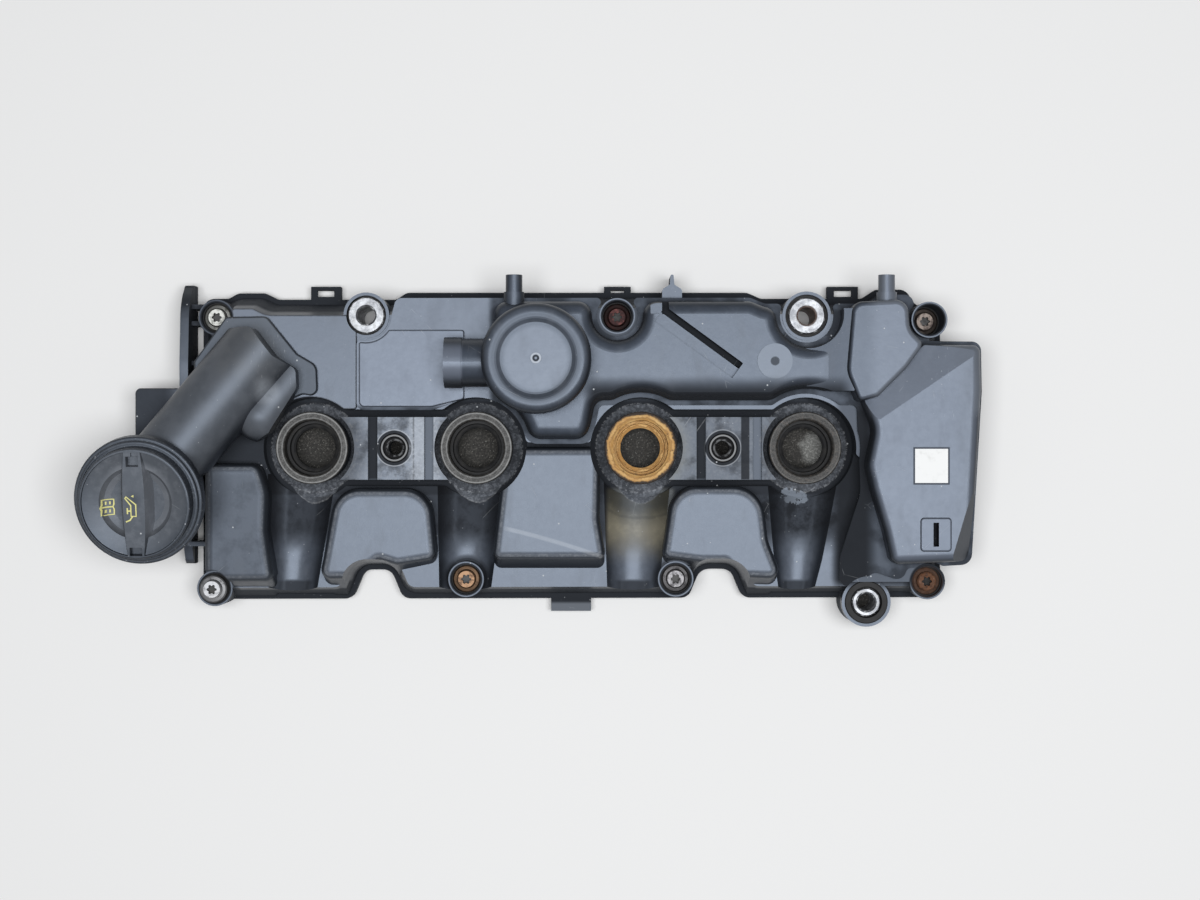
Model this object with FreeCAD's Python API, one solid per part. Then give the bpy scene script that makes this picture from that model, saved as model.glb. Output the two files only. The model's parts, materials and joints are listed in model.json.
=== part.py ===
"""Moulded cylinder head cover of a four-cylinder diesel engine, with its filler neck, breather regulator,
seals, captive screws and sleeves.

The model is laid out about the injector row: X runs along the row, Y towards the back, Z up from the
sealing plane, with zero at the middle of the row. The parts are written about the middle of the whole
footprint instead. All lengths are millimetres.
"""

import FreeCAD
import Part

import math
import os

V = FreeCAD.Vector

# Driving dimensions of the cover
CYLINDER_PITCH = 88.0  # from one injector well to the next
WELLS = 4
WALL = 3.0  # moulded wall
FIT = 0.1  # gap all round between a piece and its seat
FOOTPRINT_MIDDLE = (-11.42, -1.64)  # middle of the whole footprint, seen from the middle of the row
OVER = 1.0  # how far a cutter runs past the face that it cuts

# Levels above the sealing plane
FLANGE_BOTTOM = 1.0
FLANGE_TOP = 8.0
PIT_FLOOR = 15.0
LEDGE_TOP = 24.0
WELL_TOP = 30.0
WELD_PLANE = 34.0
DECK_TOP = 36.0
PLATEAU_TOP = 38.0
BREATHER_TOP = 50.0
SHOULDER_TOP = 55.0

# Flange
FRONT_EDGE = -82.5
LEFT_EDGE = -194.5
RIGHT_EDGE = 208.0
FLANGE_OUTLINE = [  # x, y and corner radius
    (LEFT_EDGE, 81.5, 3), (-180.5, 81.5, 4), (-175.5, 84.5, 5), (-160.5, 84.5, 6), (-153.5, 81.0, 5),
    (-89.0, 81.0, 4), (-83.5, 84.8, 5), (102.5, 84.8, 6), (110.0, 81.5, 5), (165.0, 81.5, 4),
    (172.5, 86.5, 6), (189.0, 86.5, 6), (194.0, 79.0, 3), (RIGHT_EDGE, 70.0, 6),
    (RIGHT_EDGE, -74.0, 8), (200.0, FRONT_EDGE + 1, 6), (LEFT_EDGE, FRONT_EDGE, 4),
]
NOTCHES = [(-99.1, 7.2, -66.4), (85.2, 8.2, -66.0)]  # middle, half width of the inner end, and where it ends
NOTCH_SPREAD = 0.42  # how fast the sides of a notch part towards the front
NOTCH_FLARE = 6.0
NOTCH_STANDOFF = (2.6, 7.4)  # from a notch to the raised fields, at the flange and at their tops
BODY_INSET = 2.7  # from the flange's edge to the foot of the body
BODY_DRAFT = 0.286  # inset for each millimetre of height
BODY_CORNER = 12.0

# Gasket and its groove
GASKET_HEIGHT = 4.6
GASKET_WIDTH = 3.2
GROOVE_EDGE = 2.6  # from the flange's edge to the groove
GROOVE_SIDE_GAP = 0.15
RIM_LIP = 2.4  # material inside the groove

# Plateaus between the scoops: x, y, corner radius, and how far the foot stands out from the top
PLATEAU_ROUND = 5.0
PLATEAU_SWELL = 1.4  # walls stand outside the flat top's outline
APRON_SINK = 0.3  # the leaning foot stays this far inside the upright sides
PLATEAUS = [
    [(-187.2, -9.6, 1, -4.6, 0), (-160.5, -9.6, 5, 0, 0), (-156.0, -24.0, 20, 0, 0),
     (-156.8, -44.0, 20, 0, 0),
     (-153.0, -70.0, 3, 0, -10), (-187.2, -70.0, 5, -4.6, -10)],
    [(-117.5, -22.8, 14, 0, 0), (-69.5, -22.8, 14, 0, 0), (-66.0, -58.5, 4, 0, -6), (-85.7, -61.5, 3, 0, -9),
     (-95.8, -58.5, 3, 0, -9), (-110.7, -68.6, 4, 0, -11), (-126.0, -69.0, 4, 0, -10)],
    [(-27.0, -0.8, 2, 0, 0), (21.0, -0.8, 2, 0, 0), (20.5, -38.0, 20, 0, 0), (24.0, -58.5, 3, 0, -14),
     (-34.0, -58.5, 3, 0, -14)],
    [(62.0, -21.5, 14, 0, 0), (107.0, -21.5, 16, 0, 0), (110.5, -50.0, 20, 0, 0), (118.0, -69.0, 4, 0, -10),
     (97.7, -68.0, 4, 0, -11), (89.2, -60.1, 3, 0, -9), (75.9, -60.0, 3, 0, -9), (56.5, -57.5, 3, 0, -8)],
]

# Scoops below the wells: near and far end of each floor, as middle, half width and level
SCOOPS = [
    ((-138.2, 21.0), (-143.8, 12.5)),
    ((-46.8, 21.2), (-50.9, 14.0)),
    ((42.3, 20.6), (39.7, 14.0)),
    ((131.4, 22.5), (127.6, 8.0)),
]
SCOOP_NEAR_Y = -14.0
SCOOP_FAR_Y = -84.0
SCOOP_NEAR_FLOOR = 15.0
SCOOP_FAR_FLOOR = 16.5

# Injector wells
WELL_BORE = 16.0
WELL_RIM = 22.6
WELL_TUBE = 19.0
WELL_SEAT = 12.0
WELL_EXIT = 13.0
WELL_TUBE_END = 3.0
INJECTOR_BORE = 10.8
COLLAR_RIM = 19.4
COLLAR_WALL = 1.1
COLLAR_LIP = 1.2
SEAL_LIP_TOP = 17.5
WELL_CLEAR = 27.0  # radius kept open round a well
PIT_FRONT = -20.6  # edges of the pit between two wells
PIT_BACK = 20.6
BOSS_CLEAR = 1.0  # gap kept open round a boss that stands in a hollow
WELL_TABS = [(-6.0, -29.0, 2.5), (-2.2, -31.0, 2.0), (-3.0, -26.5, 3.0),
             (-3.0, -27.0, 7.5)]  # offset and radius

# Bridges that carry the clamp bolts
BRIDGE_BACK = 16.5
BRIDGE_FRONT = -17.0
BRIDGE_GROOVE = 5.0
BRIDGE_GROOVE_DEPTH = 3.0
BRIDGE_GROOVES = (-11.5, 18.5)  # centre lines, from the clamp bore
CLAMP_BOSS = 11.0
CLAMP_SEAL = 7.8
CLAMP_BORE = 3.6
CLAMP_SEAT = 20.0

# Captive screws: x, y, top of the boss, height of the head's underside
BOSS_RADIUS = 9.6
BOSS_BORE = 8.1
BOSS_FLOOR = 9.0
SHANK_HOLE = 4.4
SCREW_SEAT = 20.0
SCREW_PROUD = 8.0  # how far the loose screw stands up
SCREWS = [
    (-184.0, 70.2, 26.0, SCREW_SEAT), (31.4, 70.4, 34.0, SCREW_SEAT), (197.0, 68.0, 40.0, SCREW_SEAT),
    (-185.2, -75.6, 24.0, SCREW_SEAT + SCREW_PROUD), (-49.8, -70.6, 26.0, SCREW_SEAT),
    (62.9, -70.4, 26.0, SCREW_SEAT), (198.1, -71.8, 26.0, SCREW_SEAT),
]
SCREW_LENGTH = 19.0
SHANK_RADIUS = 3.0
HEAD_FLANGE = 7.3
HEAD_RADIUS = 5.3
HEAD_FLANGE_HEIGHT = 1.5
HEAD_HEIGHT = 5.2
SOCKET_DEPTH = 2.6
SOCKET_CORE = 2.0
SOCKET_LOBE = 0.72

# Sleeves for the bolts that pass through: x, y, boss radius, top of the boss
SLEEVE_BORE = 4.7
SLEEVE_WALL = 2.2
SLEEVE_HEAD = 9.7
SLEEVE_HEAD_HEIGHT = 3.8
SLEEVE_RUBBER = 1.2
SLEEVE_SEAT_DEPTH = 5.0
SLEEVES = [(-102.4, 70.7, 12.2, 35.0), (132.4, 70.4, 13.0, 35.0), (165.3, -82.9, 13.2, 26.0)]
SLEEVE_SINK = 1.5  # rubber under a sleeve's head
CORNER_SLEEVE_HEAD = 7.6

# Breather cover
RIM_HEIGHT = 2.2
RIM_WIDTH = 2.5
SHELL_WALL = 2.4
BREATHER_ROUND = 7.0
LID_LEVEL = 38.2
BREATHER_OUTLINE = [
    (-107.4, 20.2, 4), (-107.4, 63.5, 5), (-90.5, 63.5, 3), (-86.5, 79.8, 4), (102.0, 80.0, 6),
    (110.0, 76.8, 5), (164.0, 76.8, 4), (172.0, 81.6, 5), (189.0, 81.6, 5), (190.0, 57.0, 2),
    (225.0, 56.6, 5), (225.5, 30.0, 30), (220.0, -62.0, 6), (186.0, -64.0, 3), (183.0, -71.0, 5),
    (168.0, -66.0, 5), (158.0, -74.5, 5), (149.5, -74.0, 6), (150.0, -58.0, 10), (161.0, -24.0, 20),
    (159.0, 22.8, 2), (22.0, 22.8, 2), (17.5, 2.2, 7), (-14.5, 2.2, 7), (-28.0, 20.0, 6), (-49.7, 27.0, 5),
    (-67.0, 20.2, 6),
]
BREATHER_LEFT = -36.5  # left wall of the tall chamber
BREATHER_RIGHT = 152.0
LID_OUTLINE = [(-106.0, 21.8, 3), (-106.0, 62.8, 6), (-50.0, 62.8, 1.5), (-50.0, 26.0, 2), (-67.5, 21.8, 5)]
SHOULDER_OUTLINE = [
    (158.0, 24.0, 3), (151.5, 40.0, 15), (154.5, 76.5, 6), (183.5, 78.0, 7), (184.5, 62.0, 10),
    (192.0, 54.5, 4), (183.0, 42.0, 30), (168.0, 27.0, 3),
]
SHOULDER_ROUND = 2.6
RAMP_LEFT = 131.0  # where the slope up to the shoulder starts
TANK_OUTLINE = [
    (160.0, 26.0, 4), (193.0, 54.5, 2), (222.8, 54.2, 4), (223.2, 30.0, 30), (218.0, -59.8, 5),
    (176.0, -61.5, 5), (172.0, -44.0, 20), (165.5, -22.0, 10), (162.5, -9.0, 10), (166.5, 10.0, 15),
]
TANK_TOP = 50.0
TANK_ROUND = 5.0
TANK_FLOOR = 13.0
TANK_FALL_FROM = (168.0, 14.0)  # a point on the fold in the tank's top
TANK_FALL_TO = (224.0, 52.0)
TANK_FALL_SLOPE = 0.17
FACET_FROM = (226.5, 6.0)
FACET_TO = (206.0, -62.5)
FACET_SLOPE = 1.1
FACET_TOP = 50.0

# Cable groove in the breather cover
GROOVE_POINTS = ((53.5, 80.0), (53.5, 70.5), (94.5, 40.5))
GROOVE_WIDTH = 9.5
GROOVE_DEPTH = 3.2
SLIT_WIDTH = 3.6
SLIT_DEPTH = 9.0
SLIT_SHIFT = 3.2
GATE_MARK = (114.2, 45.7, 9.3)
GATE_DIMPLE = 2.4
GATE_HEIGHT = 0.5
SLOT_PAD = (198.8, -45.6, 16.5, 18.0)
SLOT_PAD_HEIGHT = 0.8
SLOT_SIZE = (2.9, 12.6)
SLOT_DEPTH = 8.0

# Hose stubs on the back edge: x, height of the axis
STUBS = [(-23.3, 42.5), (173.9, 42.5)]
STUB_RADIUS = 4.4
STUB_BORE = 2.4
STUB_FROM = 70.0
STUB_TO = 91.5
STUB_SEAT = 82.4
STUB_SHOULDER = 5.4

# Breather regulator
REG_X, REG_Y = -10.8, 46.2
REG_LID_RADIUS = 28.6
REG_LID_BOTTOM = 59.0
REG_LID_TOP = 74.0
REG_LID_ROUND = 5.0
REG_LID_WALL = 2.0
REG_DISH_RADIUS = 20.0  # middle of the soft step round the dish
REG_DISH_DEPTH = 1.2
REG_HOUSING = 26.2
REG_RIM_TOP = 64.0
REG_FLOOR = 47.0
REG_PORT = 8.0
REG_PORT_WALL = 1.6
REG_PORT_TOP = 57.0
REG_PLATE = 15.0
REG_PLATE_HEIGHT = 1.8
REG_STROKE = 2.5
DIAPHRAGM = 1.0
SPRING_RADIUS = 12.0
SPRING_WIRE = 0.7
SPRING_TURNS = 4
OUTLET_Z = 51.2
OUTLET_Y = 44.7
OUTLET_RADIUS = 12.7
OUTLET_BORE = 10.6
OUTLET_COLLAR = 13.4
OUTLET_END = -59.3
OUTLET_COLLAR_LENGTH = 9.2

# Filler neck
NECK_FLANGE = [
    (-193.5, 46.0, 3), (-176.5, 69.6, 3), (-155.0, 70.0, 4), (-138.8, 50.0, 3), (-128.5, 44.0, 6),
    (-127.8, 27.0, 4), (-136.0, 28.6, 4), (-150.0, 22.0, 6), (-186.0, 20.0, 4), (-193.5, 30.0, 4),
]
NECK_FLANGE_HEIGHT = 3.2
NECK_INNER = [
    (-189.3, 46.5, 3), (-175.5, 62.6, 4), (-160.5, 63.6, 5), (-148.6, 48.0, 4), (-138.0, 41.5, 4),
    (-137.5, 31.5, 6), (-152.0, 8.0, 3), (-260.0, -60.0, 3), (-260.0, -20.0, 3),
]
DUCT_START = V(-132.0, 83.2, 38.5)
DUCT_END = V(-216.5, -21.0, 51.5)
DUCT_RADIUS = 20.0
LOBE_START = V(-129.0, 55.0, 33.0)
LOBE_END = V(-157.5, 17.0, 40.5)
LOBE_RADIUS = 14.0
DUCT_WALL = 2.6
MOUTH = V(-214.8, -26.4, 70.0)  # middle of the mouth's rim
MOUTH_AXIS = V(-0.03, -0.19, 1.0).normalize()
MOUTH_RADIUS = 26.5
MOUTH_BORE = 23.0
MOUTH_DEPTH = 30.0
MOUTH_RIM = 28.0
MOUTH_RIM_HEIGHT = 3.0

# Filler cap and its screw thread
CAP_RADIUS = 33.4
CAP_SKIRT = 5.2
CAP_STEP = (1.8, 1.9)  # how far the skirt's upper step stands in, and its height
CAP_KNOB = 28.8
CAP_KNOB_HEIGHT = 6.6
CAP_GAP = 0.5
CAP_GRIP = (5.6, 3.5)  # half width of the grip bar at its middle and at its ends
CAP_GRIP_DRAFT = 0.36
CAP_HOLLOW = 18.8
CAP_HOLLOW_DEPTH = 8.6
CAP_DISH_DEPTH = 3.0  # at the edge of the hollow
CAP_DISH_DROP = 0.9  # at the knob's rim
CAP_POCKET = (3.2, 5.2)  # half width and depth of the pockets at the ends of the bar
CAP_TURN = 0.0  # how far the cap is turned from its closed position
PLUG_RADIUS = 20.4
PLUG_WALL = 2.6
PLUG_LENGTH = 13.0
THREAD_LEAD = 16.0
THREAD_STARTS = 2
THREAD_DEPTH = 1.7
THREAD_FOOT = 2.6
THREAD_CREST = 1.4
THREAD_TURN = 0.33  # share of a turn that each ridge covers
SEAL_SECTION = 1.4

# Left end flange and its bracket
END_FLANGE = (-203.5, 4.6)  # outer face and thickness
END_OUTLINE = [
    (-63.0, FLANGE_BOTTOM, 1), (-63.0, 11.0, 5), (-40.0, 24.0, 20), (0.0, 27.0, 40), (45.0, 28.0, 40),
    (78.0, 25.0, 20), (88.5, 13.0, 6), (88.5, FLANGE_BOTTOM, 1),
]
END_WEBS = (76.5, 67.5, 46.0, 10.0, -20.0, -52.0)
END_WEB = 2.4
END_WEB_TOP = 18.0
BRACKET = (-226.8, -12.0, 32.0, 13.0, 30.0)  # outer face, front, back, bottom, top

# Clips on the edges: middle, width
BACK_CLIPS = [(-127.6, 16.2), (31.7, 14.6), (154.8, 16.7)]
CLIP_REACH = 6.6
CLIP_WALL = 1.8
FRONT_CLIP = (6.4, 21.8)
CABLE_FIN = (60.8, 10.6, 92.8)

# Inside of the cover
RIBS = (-170.0, -88.0, -5.0, 20.0, 86.0, 175.0)
RIB_WIDTH = 2.0
RIB_FOOT = 19.2
BAFFLES = [(-90.0, 20.0), (30.0, 148.0)]  # stretches of x
BAFFLE_FRONT = 30.0
BAFFLE_BACK = 72.0
BAFFLE_BOTTOM = 17.0
BAFFLE_THICK = 2.0
BAFFLE_PIN = 1.6
BAFFLE_POST = 4.0
BAFFLE_INSET = 6.0
BAFFLE_SLOT = (3.0, 14.0)


def at(x, y, z=0.0):
    """Moves a distance along the three axes."""
    return V(x, y, z)


def outline(points):
    """A flat face from corner points, each with its corner radius."""
    spans = []
    count = len(points)
    for i, (x, y, radius) in enumerate(points):
        before = V(*points[i - 1][:2], 0)
        corner = V(x, y, 0)
        after = V(*points[(i + 1) % count][:2], 0)
        back, ahead = (before - corner).normalize(), (after - corner).normalize()
        half = back.getAngle(ahead) / 2
        reach = radius / math.tan(half)
        middle = corner + (back + ahead).normalize() * (radius / math.sin(half) - radius)
        spans.append((corner + back * reach, middle, corner + ahead * reach))
    edges = []
    for i, (start, middle, end) in enumerate(spans):
        edges.append(Part.Arc(start, middle, end).toShape())
        following = spans[(i + 1) % count][0]
        if (following - end).Length > 1e-4:
            edges.append(Part.LineSegment(end, following).toShape())
    return Part.Face(Part.Wire(edges))


def disc(x, y, radius):
    """A flat round face."""
    return Part.Face(Part.Wire(Part.makeCircle(radius, V(x, y, 0))))


def panel(x0, y0, x1, y1):
    """A flat rectangular face."""
    corners = [V(x0, y0, 0), V(x1, y0, 0), V(x1, y1, 0), V(x0, y1, 0), V(x0, y0, 0)]
    return Part.Face(Part.makePolygon(corners))


def largest(shape):
    """The largest face of a flat result."""
    return max(shape.Faces, key=lambda face: face.Area)


def grown(face, by):
    """The face with its edge moved outwards, or inwards where by is negative."""
    return largest(face.makeOffset2D(by))


def softened(face, outer=0.0, inner=0.0):
    """The face with its outer corners and its inner corners rounded."""
    if outer:
        face = grown(grown(face, -outer), outer)
    if inner:
        face = grown(grown(face, inner), -inner)
    return face


def joined(shapes):
    """One flat face from several that overlap."""
    return largest(shapes[0].multiFuse(shapes[1:]).removeSplitter())


def less(face, cutters):
    """The face with others taken away."""
    return largest(face.cut(Part.Compound(cutters)))


def slab(face, low, high):
    """The face drawn up from one level to another."""
    solid = face.extrude(V(0, 0, high - low))
    solid.translate(V(0, 0, low))
    return solid


def rounded_slab(face, low, high, radius):
    """A slab with its upper edge rounded."""
    solid = slab(face, low, high)
    edges = [edge for edge in solid.Edges if min(v.Z for v in edge.Vertexes) > high - 1e-6]
    return solid.makeFillet(radius, edges)


def tapered(face, low, high, foot_inset, head_inset):
    """A slab whose sides lean inwards."""
    wires = []
    for level, inset in ((low, foot_inset), (high, head_inset)):
        wire = grown(face, -inset).OuterWire
        wire.translate(V(0, 0, level))
        wires.append(wire)
    return Part.makeLoft(wires, True, True)


def rod(x, y, radius, low, high):
    """An upright cylinder."""
    return Part.makeCylinder(radius, high - low, V(x, y, low))


def block(x0, y0, z0, x1, y1, z1):
    """A box between two corners."""
    return Part.makeBox(x1 - x0, y1 - y0, z1 - z0, V(x0, y0, z0))


def turned(profile, x=0.0, y=0.0):
    """A ring or disc from its half section, given as radius and level."""
    points = [V(radius, 0, level) for radius, level in profile]
    section = Part.Face(Part.makePolygon(points + points[:1]))
    solid = section.revolve(V(0, 0, 0), V(0, 0, 1), 360)
    solid.translate(V(x, y, 0))
    return solid


def fused(shapes):
    """One solid from several that overlap."""
    return shapes[0].multiFuse(shapes[1:])


def cut(shape, cutters):
    """The shape with the cutters taken away."""
    return shape.cut(Part.Compound(cutters))


def along(shape, origin, axis):
    """Carries a shape made about the Z axis to another origin and axis."""
    moved = shape.copy()
    moved.Placement = FreeCAD.Placement(origin, FreeCAD.Rotation(V(0, 0, 1), axis)).multiply(moved.Placement)
    return moved


def above_plane(point, normal, size=400.0):
    """A large block on the outer side of a plane."""
    box = Part.makeBox(size, size, size, V(-size / 2, -size / 2, 0))
    return along(box, point, normal)


def well_x(number):
    """Place of a well along the row."""
    return (number - (WELLS - 1) / 2) * CYLINDER_PITCH


def clamp_x(number):
    """Place of a clamp bolt, midway between two wells."""
    return (well_x(2 * number) + well_x(2 * number + 1)) / 2


def body_inset(level):
    """How far the leaning body stands in from the flange's edge at a level."""
    return BODY_INSET + (level - FLANGE_TOP) * BODY_DRAFT


def notch_face(number):
    """One front notch, wider towards the front edge."""
    middle, half, inner = NOTCHES[number]
    far = FRONT_EDGE - 20
    foot = half + (inner - far) * NOTCH_SPREAD
    return outline([
        (middle - half, inner, half * 0.9), (middle + half, inner, half * 0.9),
        (middle + foot, far, 1), (middle - foot, far, 1),
    ])


def notch_bays(grow=0.0):
    """Room that the raised fields leave round the notches, grown by a wall for the core."""
    foot, head = NOTCH_STANDOFF
    return [tapered(notch_face(n), FLANGE_TOP - OVER, PLATEAU_TOP + OVER, -foot - grow, -head - grow)
            for n in range(len(NOTCHES))]


def flange_face():
    """The flange's outline with its front notches."""
    notches = [notch_face(n) for n in range(len(NOTCHES))]
    return softened(less(outline(FLANGE_OUTLINE), notches), outer=NOTCH_FLARE)


def body_face():
    """The smoother outline that the leaning body follows."""
    return softened(softened(flange_face(), inner=4.0), outer=BODY_CORNER)


def scoop(number, grow):
    """Cutter for the hollow in front of a well, grown outwards by a wall for the core."""
    sections = []
    ends = zip(SCOOPS[number], (SCOOP_NEAR_Y, SCOOP_FAR_Y), (SCOOP_NEAR_FLOOR, SCOOP_FAR_FLOOR))
    for (middle, half), y, floor in ends:
        half, floor = half + grow, floor - grow
        turn = floor + half * 0.62
        head = PLATEAU_TOP + 2 * OVER + grow
        left, right = middle - half, middle + half
        arc = Part.Arc(V(left, y, turn), V(middle, y, floor), V(right, y, turn)).toShape()
        sides = [V(right, y, turn), V(right, y, head), V(left, y, head), V(left, y, turn)]
        lines = [Part.LineSegment(a, b).toShape() for a, b in zip(sides, sides[1:])]
        sections.append(Part.Wire([arc] + lines))
    return Part.makeLoft(sections, True, True)


def pit_face(grow=0.0):
    """The open ground round the wells and their bridges."""
    rooms = []
    for pair in (0, 1):
        left, right = well_x(2 * pair), well_x(2 * pair + 1)
        rooms.append(panel(left, PIT_FRONT - grow, right, PIT_BACK + grow))
        rooms += [disc(x, 0, WELL_CLEAR + grow) for x in (left, right)]
    return rooms


def pit_cutters(grow=0.0):
    """Cutters for the pits, grown by a wall for the core."""
    faces = pit_face(grow)
    floor = PIT_FLOOR - grow
    return [slab(joined(part), floor, PLATEAU_TOP + OVER) for part in (faces[:3], faces[3:])]


def plateau(number, grow):
    """One raised field between two scoops, with a foot that leans outwards; grow is negative for its core."""
    top = PLATEAU_TOP + grow
    radius = PLATEAU_ROUND + grow * 0.6
    corners = PLATEAUS[number]
    swell = PLATEAU_SWELL + grow
    head = grown(outline([corner[:3] for corner in corners]), swell)
    foot = grown(outline([(x + out, y + ahead, r) for x, y, r, out, ahead in corners]), swell)
    low = grown(foot, -APRON_SINK).OuterWire
    high = grown(head, -APRON_SINK).OuterWire
    low.translate(V(0, 0, FLANGE_TOP))
    high.translate(V(0, 0, top - radius))
    return [rounded_slab(head, FLANGE_TOP, top, radius), Part.makeLoft([low, high], True, True)]


def deck_face(inset=0.0):
    """The back half of the body, behind the pits."""
    back = grown(body_face(), -(body_inset(WELD_PLANE) + inset))
    room = outline([
        (-215, 20, 1), (-150, 20, 1), (well_x(1) + 10, 10, 1), (-30, 3, 1), (152, 3, 1), (166, -10, 5),
        (158, -38, 10), (152, -74, 4), (225, -74, 1), (225, 95, 1), (-215, 95, 1),
    ])
    region = largest(back.common(room))
    return softened(less(region, pit_face(inset)), outer=2.0)


def tank_face(inset=0.0):
    """Lower half of the reservoir, which stands out past the flange."""
    return grown(outline(TANK_OUTLINE), -inset)


def dogbone(number):
    """Upper plate round two wells, with the bridge between them and the pointed tabs."""
    left, right = well_x(2 * number), well_x(2 * number + 1)
    faces = [panel(left, BRIDGE_FRONT, right, BRIDGE_BACK), disc(left, 0, WELL_RIM),
             disc(right, 0, WELL_RIM)]
    for well in (2 * number, 2 * number + 1):
        x = well_x(well)
        shift, reach, radius = WELL_TABS[well]
        ends = [(x - 16.0, -16.0, 0.1), (x + 15.5, -16.5, 0.1), (x + shift + radius, reach, radius * 0.6),
                (x + shift - radius, reach, radius * 0.6)]
        faces.append(outline(ends))
    return softened(joined(faces), inner=5.0)


def core():
    """Everything that is hollow under the cover."""
    inner = body_face()
    top = LEDGE_TOP - WALL
    low = tapered(inner, FLANGE_TOP, top, BODY_INSET + WALL, body_inset(top) + WALL)
    low = low.cut(Part.Compound([scoop(n, WALL) for n in range(WELLS)]))
    raised = cut(fused([piece for n in range(WELLS) for piece in plateau(n, -WALL)]), notch_bays(WALL))
    fields = cut(fused([low, raised]), pit_cutters(WALL))
    foot = slab(rim_face(), FLANGE_BOTTOM - OVER, FLANGE_TOP + OVER)
    deck = slab(deck_face(WALL), FLANGE_TOP, WELD_PLANE - WALL)
    tank = slab(tank_face(WALL), TANK_FLOOR + WALL, WELD_PLANE - WALL)
    solid_bosses = [
        rod(x, y, BOSS_RADIUS + BOSS_CLEAR + WALL * 0.8, top - WALL, BREATHER_TOP) for x, y, top, _ in SCREWS
    ]
    return cut(fused([fields, foot, deck, tank]), solid_bosses)


def boss_bay(x, y, radius):
    """Round bay about a boss, open towards the nearer long edge."""
    far = math.copysign(30.0, y)
    low, high = sorted((y, y + far))
    return joined([disc(x, y, radius), panel(x - radius, low, x + radius, high)])


def groove_face():
    """Outer edge of the gasket's groove, led round the inner side of the bosses."""
    edge = grown(flange_face(), -GROOVE_EDGE)
    bays = [boss_bay(x, y, BOSS_RADIUS + 0.6) for x, y, _, _ in SCREWS]
    bays += [boss_bay(x, y, radius + 0.6) for x, y, radius, _ in SLEEVES]
    return softened(less(edge, bays), outer=3.0, inner=4.0)


def rim_face():
    """The opening inside the flange's rim."""
    return grown(groove_face(), -(GASKET_WIDTH + 2 * GROOVE_SIDE_GAP + RIM_LIP))


def ring(face, width, low, high):
    """A band that follows the inside of an outline."""
    return slab(less(face, [grown(face, -width)]), low, high)


def boss_cutters():
    """Bores of the screw bosses and of the sleeves."""
    cutters = []
    for x, y, top, _ in SCREWS:
        cutters.append(rod(x, y, BOSS_BORE, BOSS_FLOOR, top + OVER))
        cutters.append(rod(x, y, SHANK_HOLE, FLANGE_BOTTOM - OVER, BOSS_FLOOR + OVER))
    for number, (x, y, _, top) in enumerate(SLEEVES):
        hole, seat = sleeve_hole(number), sleeve_seat(number)
        cutters.append(rod(x, y, hole, FLANGE_BOTTOM - OVER, top))
        cutters.append(rod(x, y, seat, top - SLEEVE_SEAT_DEPTH, top + OVER))
    return cutters


def sleeve_hole(number):
    """Radius of the hole that holds a sleeve's rubber."""
    return SLEEVE_BORE + SLEEVE_WALL + 2 * FIT + SLEEVE_RUBBER


def sleeve_seat(number):
    """Radius of the recess for the rubber's flange."""
    return SLEEVES[number][2] - 1.6


def bracket_box():
    """Hollow bracket beside the end flange."""
    outer, front, back, bottom, top = BRACKET
    side = END_FLANGE[0] + 1
    hull = rounded_slab(outline([(outer, front, 2), (side, front, 1), (side, back, 1), (outer, back, 3)]),
                        bottom, top, 0.9)
    room = block(outer + WALL, front + WALL, bottom - OVER, side - WALL, back - WALL, top - WALL)
    return hull.cut(room)


def end_flange():
    """Arched flange at the timing end, with its webs and bracket."""
    outer, thick = END_FLANGE
    face = outline(END_OUTLINE)
    plate = face.extrude(V(0, 0, thick))
    plate.Placement = FreeCAD.Placement(V(outer, 0, 0), FreeCAD.Rotation(V(0, 1, 0), V(0, 0, 1), V(1, 0, 0),
                                                                         "XYZ"))
    webs = [
        block(outer + thick / 2, y - END_WEB / 2, FLANGE_BOTTOM, LEFT_EDGE + BODY_INSET + 4, y + END_WEB / 2,
              END_WEB_TOP)
        for y in END_WEBS
    ]
    return [plate, bracket_box()] + webs


def edge_clips():
    """Loops on the back edge, the tab on the front edge and the cable fin."""
    shapes = []
    inner = 78.0
    for middle, width in BACK_CLIPS:
        outer = 81.5 + CLIP_REACH
        loop = block(middle - width / 2, inner, FLANGE_BOTTOM, middle + width / 2, outer, FLANGE_TOP)
        window = block(middle - width / 2 + CLIP_WALL, 81.8, FLANGE_BOTTOM - OVER,
                       middle + width / 2 - CLIP_WALL, outer - CLIP_WALL, FLANGE_TOP - CLIP_WALL)
        slit = block(middle - width / 2 + 2 * CLIP_WALL, 82.6, FLANGE_BOTTOM,
                     middle + width / 2 - 2 * CLIP_WALL, outer - CLIP_WALL, FLANGE_TOP + OVER)
        shapes.append(cut(loop, [window, slit]))
    middle, width = FRONT_CLIP
    shapes.append(block(middle - width / 2, FRONT_EDGE - CLIP_REACH, FLANGE_BOTTOM + 1,
                        middle + width / 2, FRONT_EDGE + 3, FLANGE_TOP - 1))
    x, width, tip = CABLE_FIN
    left_side = [(x - width / 2, inner, 0.5), (x - width / 2, 85.0, 2), (x - 1.2, 87.5, 0.5),
                 (x - 0.8, tip, 0.6)]
    right_side = [(2 * x - across, along_y, corner) for across, along_y, corner in reversed(left_side)]
    fin = outline(left_side + right_side)
    shapes.append(slab(fin, FLANGE_TOP - 3, WELD_PLANE + RIM_HEIGHT - 6))
    return shapes


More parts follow.
